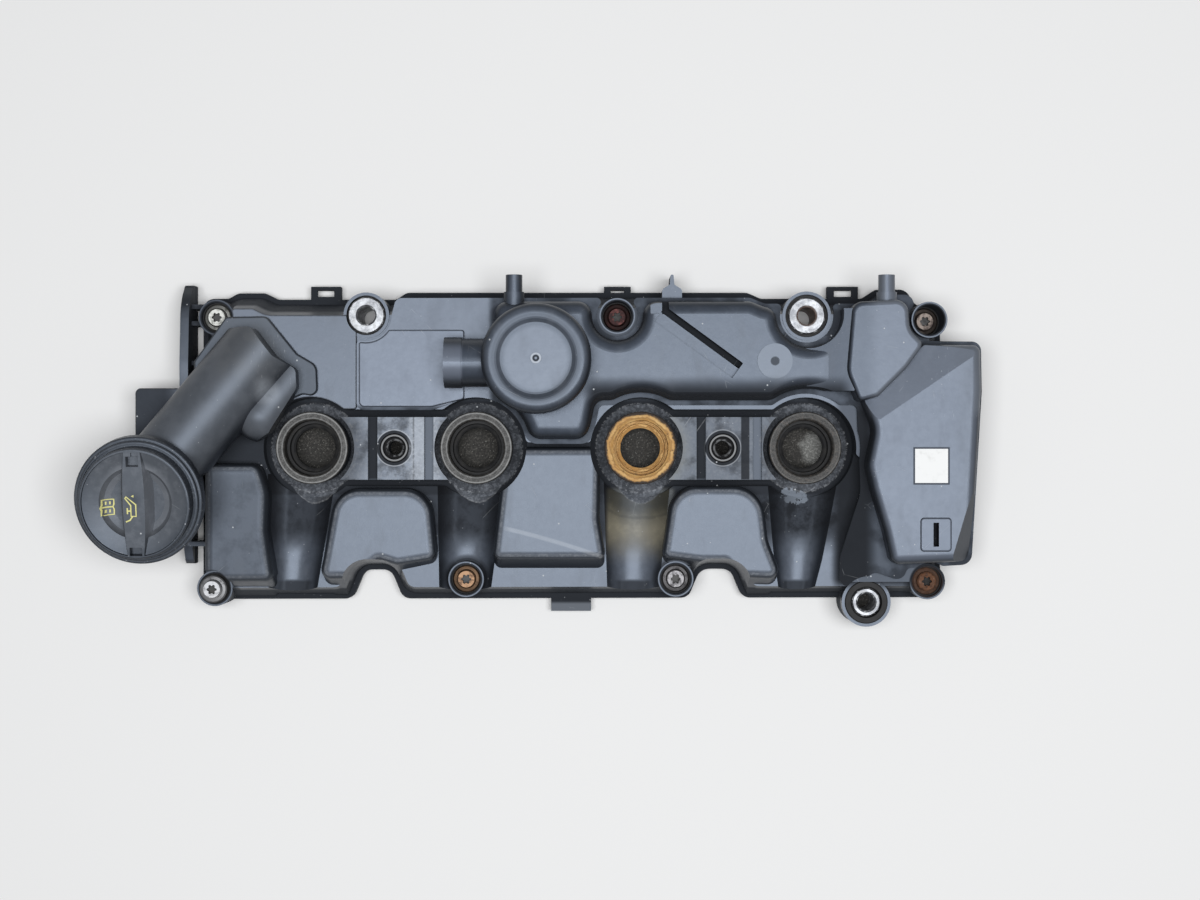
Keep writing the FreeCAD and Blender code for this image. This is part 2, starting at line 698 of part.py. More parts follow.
def clamp_bores():
    """Cutters for the grooves and the seal seats in the bridges."""
    cutters = []
    for number in (0, 1):
        x = clamp_x(number)
        for shift in BRIDGE_GROOVES:
            half = BRIDGE_GROOVE / 2
            cutters.append(block(x + shift - half, BRIDGE_FRONT - OVER, WELL_TOP - BRIDGE_GROOVE_DEPTH,
                                 x + shift + half, BRIDGE_BACK + OVER, WELL_TOP + OVER))
        cutters.append(rod(x, 0, CLAMP_SEAL + FIT, CLAMP_SEAT, WELL_TOP + OVER))
        cutters.append(rod(x, 0, CLAMP_BORE + 1.0, WELL_TUBE_END - OVER, CLAMP_SEAT + OVER))
    return cutters


def inner_posts():
    """Ribs and baffle posts inside the cover, before the core trims them."""
    shapes = []
    for x in RIBS:
        shapes.append(block(x - RIB_WIDTH / 2, FRONT_EDGE + 6, RIB_FOOT, x + RIB_WIDTH / 2, 82,
                            PLATEAU_TOP - 1))
    for left, right in BAFFLES:
        for x, y in baffle_pins(left, right):
            shapes.append(rod(x, y, BAFFLE_POST, BAFFLE_BOTTOM + BAFFLE_THICK, WELD_PLANE - 1))
            shapes.append(rod(x, y, BAFFLE_PIN, BAFFLE_BOTTOM - 1.2, BAFFLE_BOTTOM + BAFFLE_THICK + 1))
    return shapes


def baffle_pins(left, right):
    """Places of the pins that hold a baffle."""
    ys = (BAFFLE_FRONT + BAFFLE_INSET, BAFFLE_BACK - BAFFLE_INSET)
    return [(x, y) for x in (left + BAFFLE_INSET, right - BAFFLE_INSET) for y in ys]


def cover_base():
    """The main moulding: flange, plateaus, scoops, wells, bosses and the lower half of the reservoir."""
    body = body_face()
    low = tapered(body, FLANGE_TOP, LEDGE_TOP, BODY_INSET, body_inset(LEDGE_TOP))
    low = low.cut(Part.Compound([scoop(n, 0) for n in range(WELLS)]))
    fields = cut(fused([piece for n in range(WELLS) for piece in plateau(n, 0)]), notch_bays())
    front = cut(fused([low, fields]), pit_cutters())
    deck = slab(deck_face(), FLANGE_TOP, WELD_PLANE)
    deck_side = tapered(body, FLANGE_TOP, WELD_PLANE, BODY_INSET, body_inset(WELD_PLANE))
    back_strip = slab(largest(panel(-215, 24, 225, 95).common(grown(body, -BODY_INSET))), FLANGE_TOP,
                      WELD_PLANE)
    back_strip = cut(back_strip.common(deck_side), pit_cutters())
    raised = less(deck_face(), [panel(BREATHER_OUTLINE[0][0] - FIT, -90, 230, 90)])
    raised = rounded_slab(softened(raised, outer=1.5), WELD_PLANE - OVER, DECK_TOP, 0.8)
    tank = slab(tank_face(), TANK_FLOOR, WELD_PLANE)
    shell = fused([front, deck, back_strip, raised, tank])
    hollows = [rod(x, y, BOSS_RADIUS + BOSS_CLEAR, top, BREATHER_TOP) for x, y, top, _ in SCREWS]
    shell = cut(shell.cut(core()), hollows)
    flange = cut(slab(flange_face(), FLANGE_BOTTOM, FLANGE_TOP), [slab(rim_face(), 0, FLANGE_TOP + OVER)])
    bosses = [rod(x, y, BOSS_RADIUS, FLANGE_BOTTOM, top) for x, y, top, _ in SCREWS]
    bosses += [rod(x, y, radius, FLANGE_BOTTOM, top) for x, y, radius, top in SLEEVES]
    wells = [slab(dogbone(n), WELL_TOP - 6, WELL_TOP) for n in (0, 1)]
    wells += [rod(well_x(n), 0, WELL_TUBE, WELL_TUBE_END, WELL_TOP) for n in range(WELLS)]
    wells += [rod(clamp_x(n), 0, CLAMP_BOSS, WELL_TUBE_END, WELL_TOP - 1) for n in (0, 1)]
    inside = fused(inner_posts()).common(core())
    solid = fused([shell, flange, inside] + bosses + wells + end_flange() + edge_clips())
    cutters = boss_cutters() + clamp_bores()
    for n in range(WELLS):
        cutters.append(rod(well_x(n), 0, WELL_BORE, WELL_SEAT, PLATEAU_TOP))
        cutters.append(rod(well_x(n), 0, WELL_EXIT, 0, WELL_SEAT + OVER))
    groove_top = GASKET_HEIGHT
    cutters.append(ring(groove_face(), GASKET_WIDTH + 2 * GROOVE_SIDE_GAP, 0, groove_top))
    cutters.append(slab(neck_opening(), WELD_PLANE - 2 * WALL, DECK_TOP + OVER))
    return cut(solid, cutters)


def perimeter_gasket():
    """Rubber gasket in the groove, standing a little proud."""
    return ring(grown(groove_face(), -GROOVE_SIDE_GAP), GASKET_WIDTH, 0, GASKET_HEIGHT)


def breather_face():
    """Weld flange of the breather cover, led round the wells and bosses."""
    face = outline(BREATHER_OUTLINE)
    rooms = [disc(well_x(1), 0, WELL_CLEAR), disc(well_x(2), 0, WELL_CLEAR),
             disc(well_x(3), 0, WELL_CLEAR + 2)]
    rooms += [disc(x, y, BOSS_RADIUS + 1.4) for x, y, top, _ in SCREWS]
    rooms += [disc(x, y, radius + 1.4) for x, y, radius, _ in SLEEVES]
    return softened(less(face, rooms), outer=2.2, inner=3.0)


def chamber_face(inset=0.0):
    """Outline of the tall breather chamber."""
    room = panel(BREATHER_LEFT, -90, BREATHER_RIGHT, 90)
    part = largest(breather_face().common(room))
    face = softened(grown(part, -RIM_WIDTH), outer=BREATHER_ROUND + 0.5, inner=2.0)
    return grown(face, -inset) if inset else face


def groove_cutters(grow):
    """Cutters for the cable groove and its slit, grown by a wall for the core."""
    shapes = []
    top = BREATHER_TOP + OVER + 10
    steps = ((GROOVE_WIDTH, GROOVE_DEPTH, 0), (SLIT_WIDTH, SLIT_DEPTH, SLIT_SHIFT))
    for start, end in zip(GROOVE_POINTS, GROOVE_POINTS[1:]):
        a, b = V(*start, 0), V(*end, 0)
        run = (b - a).normalize()
        side = V(-run.y, run.x, 0)
        for width, depth, shift in steps:
            half = width / 2 + grow
            middle = side * shift
            corners = [a + middle - side * half - run * grow, b + middle - side * half + run * grow,
                       b + middle + side * half + run * grow, a + middle + side * half - run * grow]
            face = Part.Face(Part.makePolygon(corners + corners[:1]))
            shapes.append(slab(face, BREATHER_TOP - depth - grow, top))
    return shapes


def ramp(drop):
    """Sloping field between the chamber and the shoulder; drop lowers it for the core."""
    low, high = BREATHER_TOP - 3 - drop, SHOULDER_TOP - 1.5 - drop
    left, right = RAMP_LEFT + drop, SHOULDER_OUTLINE[1][0] + 4 + drop
    front = 30 + drop
    profile = [V(left, front, WELD_PLANE), V(left, front, low), V(right, front, high),
               V(right, front, WELD_PLANE)]
    face = Part.Face(Part.makePolygon(profile + profile[:1]))
    solid = face.extrude(V(0, 44 - 2 * drop, 0))
    room = slab(grown(less(breather_face(), []), -(RIM_WIDTH + 1 + drop)), WELD_PLANE, SHOULDER_TOP + OVER)
    return solid.common(room)


def tank_planes(drop):
    """Blocks that trim the reservoir's top to its falling field and its side facet."""
    a, b = V(*TANK_FALL_FROM, TANK_TOP - drop), V(*TANK_FALL_TO, TANK_TOP - drop)
    run = (b - a).normalize()
    outward = V(run.y, -run.x, 0) * -1
    fall = above_plane(a, (V(0, 0, 1) + outward * TANK_FALL_SLOPE).normalize())
    c, d = V(*FACET_FROM, FACET_TOP - drop), V(*FACET_TO, FACET_TOP - drop)
    run = (c - d).normalize()
    away = V(run.y, -run.x, 0)
    shifted = d - away * (drop * 0.5)
    facet = above_plane(shifted, (away + V(0, 0, 1) * (1 / FACET_SLOPE) * 0.8).normalize())
    return [fall, facet]


def breather_masses(drop):
    """Raised forms of the breather cover; drop is the wall for its core, or nothing for its outside."""
    floor = WELD_PLANE - (OVER if drop else 0)
    chamber = rounded_slab(chamber_face(drop), floor, BREATHER_TOP - drop, BREATHER_ROUND - drop)
    chamber = cut(chamber, groove_cutters(drop))
    shoulder = rounded_slab(grown(outline(SHOULDER_OUTLINE), -drop), floor, SHOULDER_TOP - drop,
                            SHOULDER_ROUND - drop * 0.5)
    tank = rounded_slab(tank_face(drop), floor, TANK_TOP - drop, TANK_ROUND - drop)
    tank = cut(tank, tank_planes(drop))
    return [chamber, shoulder, tank, ramp(drop)]


def breather_cover():
    """Upper shell: oil separator chamber, regulator housing, hose stubs and reservoir."""
    plate = slab(breather_face(), WELD_PLANE, WELD_PLANE + RIM_HEIGHT)
    sleeve_x, sleeve_y, sleeve_radius, _ = SLEEVES[0]
    lid_face = less(outline(LID_OUTLINE), [disc(sleeve_x, sleeve_y, sleeve_radius + 2.4)])
    lid = rounded_slab(softened(lid_face, outer=1.2), WELD_PLANE, LID_LEVEL, 0.8)
    housing = rod(REG_X, REG_Y, REG_HOUSING, WELD_PLANE, REG_RIM_TOP)
    outlet = Part.makeCylinder(OUTLET_RADIUS, REG_X - OUTLET_END, V(OUTLET_END, OUTLET_Y, OUTLET_Z),
                               V(1, 0, 0))
    collar = Part.makeCylinder(OUTLET_COLLAR, OUTLET_COLLAR_LENGTH, V(OUTLET_END, OUTLET_Y, OUTLET_Z),
                               V(1, 0, 0))
    mark_x, mark_y, mark_radius = GATE_MARK
    mark = rod(mark_x, mark_y, mark_radius, BREATHER_TOP - 1, BREATHER_TOP + GATE_HEIGHT)
    pad_x, pad_y, pad_width, pad_length = SLOT_PAD
    pad_face = outline([(pad_x + i * pad_width / 2, pad_y + j * pad_length / 2, 2)
                        for i, j in ((-1, -1), (1, -1), (1, 1), (-1, 1))])
    pad = rounded_slab(pad_face, TANK_TOP - SLOT_DEPTH - SHELL_WALL, TANK_TOP + SLOT_PAD_HEIGHT, 1.0)
    stubs = []
    for x, z in STUBS:
        root = V(x, STUB_FROM, z)
        stubs.append(Part.makeCylinder(STUB_RADIUS, STUB_TO - STUB_FROM, root, V(0, 1, 0)))
        stubs.append(Part.makeCylinder(STUB_SHOULDER, STUB_SEAT - STUB_FROM, root, V(0, 1, 0)))
    solid = fused([plate, lid, housing, outlet, collar, mark] + stubs + breather_masses(0))
    hollow = fused(breather_masses(SHELL_WALL))
    hollow = hollow.cut(rod(REG_X, REG_Y, REG_HOUSING, WELD_PLANE - 2 * OVER, BREATHER_TOP))
    room = rod(REG_X, REG_Y, REG_HOUSING - SHELL_WALL, REG_FLOOR, REG_RIM_TOP + OVER)
    port_tube = rod(REG_X, REG_Y, REG_PORT + REG_PORT_WALL, REG_FLOOR - OVER, REG_PORT_TOP)
    room = room.cut(port_tube)
    cutters = [hollow, room]
    cutters.append(rod(REG_X, REG_Y, REG_PORT, WELD_PLANE - OVER, REG_PORT_TOP + OVER))
    cutters.append(rod(REG_X, REG_Y, REG_HOUSING - SHELL_WALL, WELD_PLANE - OVER, REG_FLOOR - SHELL_WALL))
    bore_end = REG_X - REG_HOUSING + SHELL_WALL + 2
    bore_start = V(OUTLET_END - OVER, OUTLET_Y, OUTLET_Z)
    cutters.append(Part.makeCylinder(OUTLET_BORE, bore_end - OUTLET_END + OVER, bore_start, V(1, 0, 0)))
    cutters.append(rod(mark_x, mark_y, GATE_DIMPLE, BREATHER_TOP, BREATHER_TOP + 2 * GATE_HEIGHT))
    for x, z in STUBS:
        root = V(x, STUB_FROM - OVER, z)
        cutters.append(Part.makeCylinder(STUB_BORE, STUB_TO - STUB_FROM + 2 * OVER, root, V(0, 1, 0)))
    shell = cut(solid, cutters)
    shell = shell.fuse(pad)
    slot_width, slot_length = SLOT_SIZE
    slot = block(pad_x - slot_width / 2, pad_y - slot_length / 2, TANK_TOP + SLOT_PAD_HEIGHT - SLOT_DEPTH,
                 pad_x + slot_width / 2, pad_y + slot_length / 2, TANK_TOP + SLOT_PAD_HEIGHT + OVER)
    return shell.cut(slot)


def neck_opening():
    """The hole in the cover under the filler neck."""
    room = panel(-188, 24, -120, 80)
    return softened(grown(largest(outline(NECK_INNER).common(room)), -4.0), outer=3.0)


def duct(start, end, radius):
    """A straight round bar between two points."""
    return Part.makeCylinder(radius, (end - start).Length, start, end - start)


def filler_neck():
    """Duct from the mouth down into the cover, on its welded flange."""
    top = DECK_TOP + NECK_FLANGE_HEIGHT
    flange = rounded_slab(outline(NECK_FLANGE), DECK_TOP, top, 1.0)
    side = outline(NECK_INNER)
    lobe_end = Part.makeSphere(LOBE_RADIUS, LOBE_END)
    bars = fused([duct(DUCT_START, DUCT_END, DUCT_RADIUS), duct(LOBE_START, LOBE_END, LOBE_RADIUS),
                  lobe_end])
    hood = bars.common(slab(side, DECK_TOP, 120))
    end_ball = Part.makeSphere(DUCT_RADIUS, DUCT_END).common(block(-300, -120, 20, -120, 60, 120))
    outer_duct = duct(DUCT_START + (DUCT_END - DUCT_START) * 0.62, DUCT_END, DUCT_RADIUS)
    mouth = along(rod(0, 0, MOUTH_RADIUS, -MOUTH_DEPTH, 0), MOUTH, MOUTH_AXIS)
    rim = along(rod(0, 0, MOUTH_RIM, -MOUTH_RIM_HEIGHT, 0), MOUTH, MOUTH_AXIS)
    solid = fused([flange, hood, end_ball, outer_duct, mouth, rim])
    inner = DUCT_RADIUS - DUCT_WALL
    room = fused([duct(DUCT_START, DUCT_END, inner), duct(LOBE_START, LOBE_END, LOBE_RADIUS - DUCT_WALL)])
    lower = neck_opening()
    room = fused([room, slab(lower, DECK_TOP - OVER, DECK_TOP + NECK_FLANGE_HEIGHT + 2)])
    room = room.common(slab(grown(side, -DUCT_WALL), DECK_TOP - 2 * OVER, 120))
    keep = slab(less(outline(NECK_FLANGE), [lower]), DECK_TOP - 3 * OVER, DECK_TOP + NECK_FLANGE_HEIGHT)
    room = room.cut(keep)
    bore = along(rod(0, 0, MOUTH_BORE, -(MOUTH_DEPTH - WALL), OVER), MOUTH, MOUTH_AXIS)
    shell = cut(solid, [room, bore, above_plane(MOUTH, MOUTH_AXIS)])
    threads = [along(thread_ridge(MOUTH_BORE + 0.2, -1, start), MOUTH, MOUTH_AXIS)
               for start in range(THREAD_STARTS)]
    return fused([shell] + threads)


def thread_ridge(radius, sense, start):
    """One coarse ridge of the cap's screw thread, inward or outward, about the mouth's axis."""
    height = THREAD_LEAD * THREAD_TURN
    low = -PLUG_LENGTH + THREAD_FOOT / 2 + 0.3
    half_gap = THREAD_LEAD / THREAD_STARTS / 2
    shift = half_gap if sense < 0 else 0.0
    helix = Part.makeHelix(THREAD_LEAD, height, radius)
    foot, crest = THREAD_FOOT / 2, THREAD_CREST / 2
    depth = sense * THREAD_DEPTH
    points = [V(radius, 0, -foot), V(radius + depth, 0, -crest), V(radius + depth, 0, crest),
              V(radius, 0, foot)]
    profile = Part.makePolygon(points + points[:1])
    ridge = Part.Wire(helix.Edges).makePipeShell([profile], True, True)
    ridge.rotate(V(0, 0, 0), V(0, 0, 1), 360.0 * start / THREAD_STARTS)
    ridge.translate(V(0, 0, low + shift))
    return ridge


def grip_bar(knob_top):
    """The bulging bar across the knob, with its leaning sides."""
    wires = []
    for level in (knob_top + OVER, knob_top - CAP_HOLLOW_DEPTH - OVER):
        spread = (knob_top - level) * CAP_GRIP_DRAFT
        middle, end = CAP_GRIP[0] + spread, CAP_GRIP[1] + spread
        right = Part.Arc(V(end, -CAP_RADIUS, level), V(middle, 0, level),
                         V(end, CAP_RADIUS, level)).toShape()
        left = Part.Arc(V(-end, CAP_RADIUS, level), V(-middle, 0, level),
                        V(-end, -CAP_RADIUS, level)).toShape()
        head = Part.makeLine(V(end, CAP_RADIUS, level), V(-end, CAP_RADIUS, level))
        foot = Part.makeLine(V(-end, -CAP_RADIUS, level), V(end, -CAP_RADIUS, level))
        wires.append(Part.Wire([right, head, left, foot]))
    return Part.makeLoft(wires, True, True)


def cap_hollows(knob_top):
    """What is missing from the knob: a dish and a deeper hollow beside the bar, and pockets at its ends."""
    bottom = knob_top - CAP_HOLLOW_DEPTH
    bowl = turned([
        (0, knob_top + OVER), (0, bottom), (CAP_HOLLOW - 5.0, bottom + 0.5),
        (CAP_HOLLOW - 2.0, bottom + 2.2),
        (CAP_HOLLOW, knob_top - CAP_DISH_DEPTH), (CAP_KNOB - 1.8, knob_top - CAP_DISH_DROP),
        (CAP_KNOB - 1.2, knob_top + OVER),
    ])
    half, depth = CAP_POCKET
    back = block(-half, 19.5, knob_top - depth, half, 24.8, knob_top + OVER)
    ledge = block(-0.6, 24.0, knob_top - 1.6, half, 26.8, knob_top + OVER)
    front = block(-half, -27.0, knob_top - depth, half, -22.6, knob_top + OVER)
    return [bowl.cut(grip_bar(knob_top)), back, ledge, front]


def filler_cap():
    """Round cap with its grip bar, hollows, stepped skirt and threaded plug."""
    base = SEAL_SECTION
    top = base + CAP_SKIRT
    knob_top = top + CAP_KNOB_HEIGHT
    drop = MOUTH_RIM_HEIGHT
    step_in, step_height = CAP_STEP
    lower = rounded_slab(disc(0, 0, CAP_RADIUS), base - drop, top - step_height, 1.2)
    upper = rounded_slab(disc(0, 0, CAP_RADIUS - step_in), base, top, 1.2)
    knob = rounded_slab(disc(0, 0, CAP_KNOB), top - 2, knob_top, 1.0)
    ditch_out = CAP_KNOB + 1.3
    ditch = turned([(CAP_KNOB, top + OVER), (CAP_KNOB, top - 1.4), (ditch_out, top - 1.4),
                    (ditch_out, top + OVER)])
    body = cut(fused([lower, upper.cut(ditch), knob]), cap_hollows(knob_top))
    under = rod(0, 0, MOUTH_RIM + 2 * CAP_GAP, base - drop - OVER, base)
    body = body.cut(under)
    plug = rod(0, 0, PLUG_RADIUS, -PLUG_LENGTH, base + 1).cut(
        rod(0, 0, PLUG_RADIUS - PLUG_WALL, -PLUG_LENGTH - OVER, base - 0.5))
    threads = [thread_ridge(PLUG_RADIUS - 0.2, 1, start) for start in range(THREAD_STARTS)]
    cap = fused([body, plug] + threads)
    cap.rotate(V(0, 0, 0), V(0, 0, 1), CAP_TURN)
    return along(cap, MOUTH, MOUTH_AXIS)


def cap_seal():
    """Flat rubber ring under the cap."""
    inner, outer = PLUG_RADIUS + 0.4, MOUTH_RIM - 0.6
    low, high = FIT / 2, SEAL_SECTION - FIT / 2
    ring_shape = turned([(inner, low), (outer, low), (outer, high), (inner, high)])
    return along(ring_shape, MOUTH, MOUTH_AXIS)


def regulator_lid():
    """Round lid over the regulator, with its dished middle."""
    solid = rod(REG_X, REG_Y, REG_LID_RADIUS, REG_LID_BOTTOM, REG_LID_TOP)
    edges = [edge for edge in solid.Edges if min(v.Z for v in edge.Vertexes) > REG_LID_TOP - 1e-6]
    solid = solid.makeFillet(REG_LID_ROUND, edges)
    slope = [(-2.4, 1.0), (-1.4, 0.93), (-0.5, 0.62), (0.5, 0.26), (1.4, 0.06), (2.2, 0.0)]
    step = [(REG_DISH_RADIUS + out, REG_LID_TOP - REG_DISH_DEPTH * share) for out, share in slope]
    dish = turned([(0, REG_LID_TOP + OVER), (0, REG_LID_TOP - REG_DISH_DEPTH)] + step
                  + [(REG_DISH_RADIUS + 2.2, REG_LID_TOP + OVER)], REG_X, REG_Y)
    floor = REG_LID_TOP - REG_DISH_DEPTH
    nub = turned([(0, floor - 0.6), (2.8, floor - 0.6), (2.8, floor + 0.9), (1.8, floor + 0.9),
                  (1.8, floor - 0.1),
                  (0.8, floor - 0.1), (0.8, floor + 0.6), (0, floor + 0.6)], REG_X, REG_Y)
    solid = solid.cut(dish).fuse(nub)
    inner = REG_LID_RADIUS - REG_LID_WALL
    lower = rod(REG_X, REG_Y, inner, REG_LID_BOTTOM - OVER, REG_RIM_TOP + DIAPHRAGM + 2 * FIT)
    ceiling = floor - REG_LID_WALL
    upper = rod(REG_X, REG_Y, REG_HOUSING - SHELL_WALL, REG_RIM_TOP, ceiling)
    corner = [edge for edge in upper.Edges if min(v.Z for v in edge.Vertexes) > ceiling - 1e-6]
    upper = upper.makeFillet(3.5, corner)
    gate_start = V(REG_X - 2 * REG_LID_RADIUS, OUTLET_Y, OUTLET_Z)
    gate = Part.makeCylinder(OUTLET_RADIUS + 0.6, 2 * REG_LID_RADIUS, gate_start, V(1, 0, 0))
    return cut(solid, [lower, upper, gate])


def regulator_diaphragm():
    """Rolling rubber diaphragm clamped under the lid."""
    low, high = REG_RIM_TOP + FIT, REG_RIM_TOP + FIT + DIAPHRAGM
    rim, roll = REG_HOUSING - 0.1, 3.0
    return turned([(REG_PLATE + 1, low), (REG_PLATE + 2, low + roll), (rim - 6.5, low + roll),
                   (rim - 4, low), (rim, low),
                   (rim, high), (rim - 3.6, high), (rim - 6, high + roll), (REG_PLATE + 1.6, high + roll),
                   (REG_PLATE, high),
                   (0, high), (0, low)], REG_X, REG_Y)


def regulator_plate():
    """Valve plate that the diaphragm carries."""
    top = REG_RIM_TOP
    low = top - REG_PLATE_HEIGHT
    hub = REG_PORT_TOP + REG_STROKE + 0.5
    return turned([(0, hub), (REG_PORT + 1.2, hub), (REG_PORT + 1.2, low), (REG_PLATE, low),
                   (REG_PLATE, top), (0, top)], REG_X, REG_Y)


def regulator_spring():
    """Coil spring between the housing floor and the valve plate."""
    low = REG_FLOOR + SPRING_WIRE + FIT
    high = REG_RIM_TOP - REG_PLATE_HEIGHT - SPRING_WIRE - FIT
    helix = Part.makeHelix((high - low) / SPRING_TURNS, high - low, SPRING_RADIUS)
    section = Part.Wire(Part.makeCircle(SPRING_WIRE, V(SPRING_RADIUS, 0, 0), V(0, 1, 0)))
    coil = Part.Wire(helix.Edges).makePipeShell([section], True, True)
    coil.translate(V(REG_X, REG_Y, low))
    return coil


def well_collar(number):
    """Steel collar pressed into a well."""
    x = well_x(number)
    outer = WELL_BORE - FIT
    low, high = WELL_SEAT + FIT, WELL_TOP + FIT + COLLAR_LIP
    profile = [(outer - COLLAR_WALL, low), (outer, low), (outer, WELL_TOP + FIT),
               (COLLAR_RIM, WELL_TOP + FIT), (COLLAR_RIM, high - 0.4),
               (COLLAR_RIM - 0.5, high), (outer + 0.2, high), (outer - COLLAR_WALL, high - 1.0)]
    return turned(profile, x, 0)


def well_seal(number):
    """Rubber lip that grips the injector."""
    x = well_x(number)
    outer = WELL_BORE - FIT - COLLAR_WALL - FIT
    low = WELL_SEAT + FIT
    profile = [(INJECTOR_BORE, low), (outer, low), (outer, SEAL_LIP_TOP + 4.0),
               (outer - 1.4, SEAL_LIP_TOP + 4.0), (outer - 1.8, SEAL_LIP_TOP + 0.6),
               (INJECTOR_BORE + 0.9, SEAL_LIP_TOP), (INJECTOR_BORE, SEAL_LIP_TOP - 0.8)]
    return turned(profile, x, 0)


def clamp_seal(number):
    """Seal round a clamp bolt."""
    x = clamp_x(number)
    low, top = CLAMP_SEAT + FIT, WELL_TOP
    profile = [(CLAMP_BORE, low), (CLAMP_SEAL, low), (CLAMP_SEAL, top - 0.8), (CLAMP_SEAL - 0.6, top - 0.2),
               (CLAMP_SEAL - 1.5, top - 0.2),
               (CLAMP_SEAL - 1.9, top - 3.0), (CLAMP_BORE + 1.0, top - 4.2), (CLAMP_BORE, top - 5.4)]
    return turned(profile, x, 0)


def socket(x, y, top):
    """Cutter for the six-lobed socket of a screw."""
    lobes = [rod(x, y, SOCKET_CORE, top - SOCKET_DEPTH, top + OVER)]
    for i in range(6):
        angle = math.radians(60 * i)
        lobe_x, lobe_y = x + SOCKET_CORE * math.cos(angle), y + SOCKET_CORE * math.sin(angle)
        lobes.append(rod(lobe_x, lobe_y, SOCKET_LOBE, top - SOCKET_DEPTH, top + OVER))
    return fused(lobes)


def cover_screw(number):
    """Captive screw with a six-lobed socket."""
    x, y, _, seat = SCREWS[number]
    seat = seat + FIT
    top = seat + HEAD_HEIGHT
    tip, rim = seat - SCREW_LENGTH, seat + HEAD_FLANGE_HEIGHT
    profile = [(0, tip), (SHANK_RADIUS - 0.8, tip), (SHANK_RADIUS, tip + 1.0), (SHANK_RADIUS, seat),
               (HEAD_FLANGE, seat), (HEAD_FLANGE, rim - 0.4), (HEAD_FLANGE - 0.6, rim),
               (HEAD_RADIUS, rim + 0.3),
               (HEAD_RADIUS - 0.2, top - 0.7), (HEAD_RADIUS - 0.9, top), (0, top)]
    return turned(profile, x, y).cut(socket(x, y, top))


def screw_grommet(number):
    """Rubber collar that holds a screw in its boss."""
    x, y, _, _ = SCREWS[number]
    outer = BOSS_BORE - FIT
    low, top = BOSS_FLOOR + FIT, SCREW_SEAT
    inner = SHANK_RADIUS + FIT
    profile = [(inner, low), (outer, low), (outer, top + 1.6), (outer - 0.45, top + 1.6),
               (outer - 0.55, top), (inner, top)]
    return turned(profile, x, y)


def mount_sleeve(number):
    """Steel sleeve for a bolt that passes through the cover."""
    x, y, _, top = SLEEVES[number]
    body = SLEEVE_BORE + SLEEVE_WALL
    head = SLEEVE_HEAD if number < 2 else CORNER_SLEEVE_HEAD
    seat = top - SLEEVE_SEAT_DEPTH + SLEEVE_SINK + FIT
    low = FLANGE_BOTTOM + 0.4
    high = seat + SLEEVE_HEAD_HEIGHT
    profile = [(SLEEVE_BORE, low), (body, low), (body, seat), (head, seat), (head, high - 0.6),
               (head - 0.6, high), (SLEEVE_BORE + 0.9, high),
               (SLEEVE_BORE, high - 0.9)]
    return turned(profile, x, y)


def sleeve_grommet(number):
    """Rubber bush between a sleeve and its boss."""
    x, y, _, top = SLEEVES[number]
    inner = SLEEVE_BORE + SLEEVE_WALL + FIT
    outer = inner + SLEEVE_RUBBER
    brim = sleeve_seat(number) - FIT
    floor = top - SLEEVE_SEAT_DEPTH
    low, pad = FLANGE_BOTTOM + 1, floor + SLEEVE_SINK
    profile = [(inner, low), (outer, low), (outer, floor + FIT), (brim, floor + FIT), (brim, pad),
               (inner, pad)]
    if number == 2:
        lip = floor + SLEEVE_SEAT_DEPTH + 0.6
        seat_edge = CORNER_SLEEVE_HEAD + 0.5
        profile[4:5] = [(brim, lip - 0.5), (brim - 0.5, lip), (seat_edge + 0.4, lip), (seat_edge, pad)]
    return turned(profile, x, y)


def oil_baffle(number):
    """Flat plate under the oil separator, with a row of drain slots."""
    left, right = BAFFLES[number]
    face = outline([(left, BAFFLE_FRONT, 3), (right, BAFFLE_FRONT, 3), (right, BAFFLE_BACK, 3),
                    (left, BAFFLE_BACK, 3)])
    plate = slab(face, BAFFLE_BOTTOM, BAFFLE_BOTTOM + BAFFLE_THICK - FIT)
    low, high = BAFFLE_BOTTOM - OVER, BAFFLE_BOTTOM + BAFFLE_THICK + OVER
    cutters = [rod(x, y, BAFFLE_PIN + FIT, low, high) for x, y in baffle_pins(left, right)]
    width, length = BAFFLE_SLOT
    count = int((right - left - 40) // 12)
    middle = (BAFFLE_FRONT + BAFFLE_BACK) / 2
    for i in range(count):
        x = left + 20 + (right - left - 40) * (i + 0.5) / count
        cutters.append(block(x - width / 2, middle - length / 2, low, x + width / 2, middle + length / 2,
                             high))
    others = [rod(x, y, radius + 1.5, 0, 40) for x, y, radius, _ in SLEEVES]
    others += [rod(x, y, BOSS_RADIUS + 1.5, 0, 40) for x, y, _, _ in SCREWS]
    return cut(plate, cutters + others)


def save(name, shape, merged=True):
    """Writes one piece about the middle of the footprint, with its level faces merged."""
    if merged:
        shape = shape.removeSplitter()
    shape = shape.Solids[0]
    shape.translate(V(-FOOTPRINT_MIDDLE[0], -FOOTPRINT_MIDDLE[1], 0))
    shape.exportStep(f"parts/{name}.step")
    box = shape.BoundBox
    print(f"{name}: {len(shape.Solids)} solid, valid {shape.isValid()}, {shape.Volume / 1000:.2f} cm3, "
          f"x {box.XMin:.1f}..{box.XMax:.1f} y {box.YMin:.1f}..{box.YMax:.1f} z {box.ZMin:.1f}..{box.ZMax:.1f}")


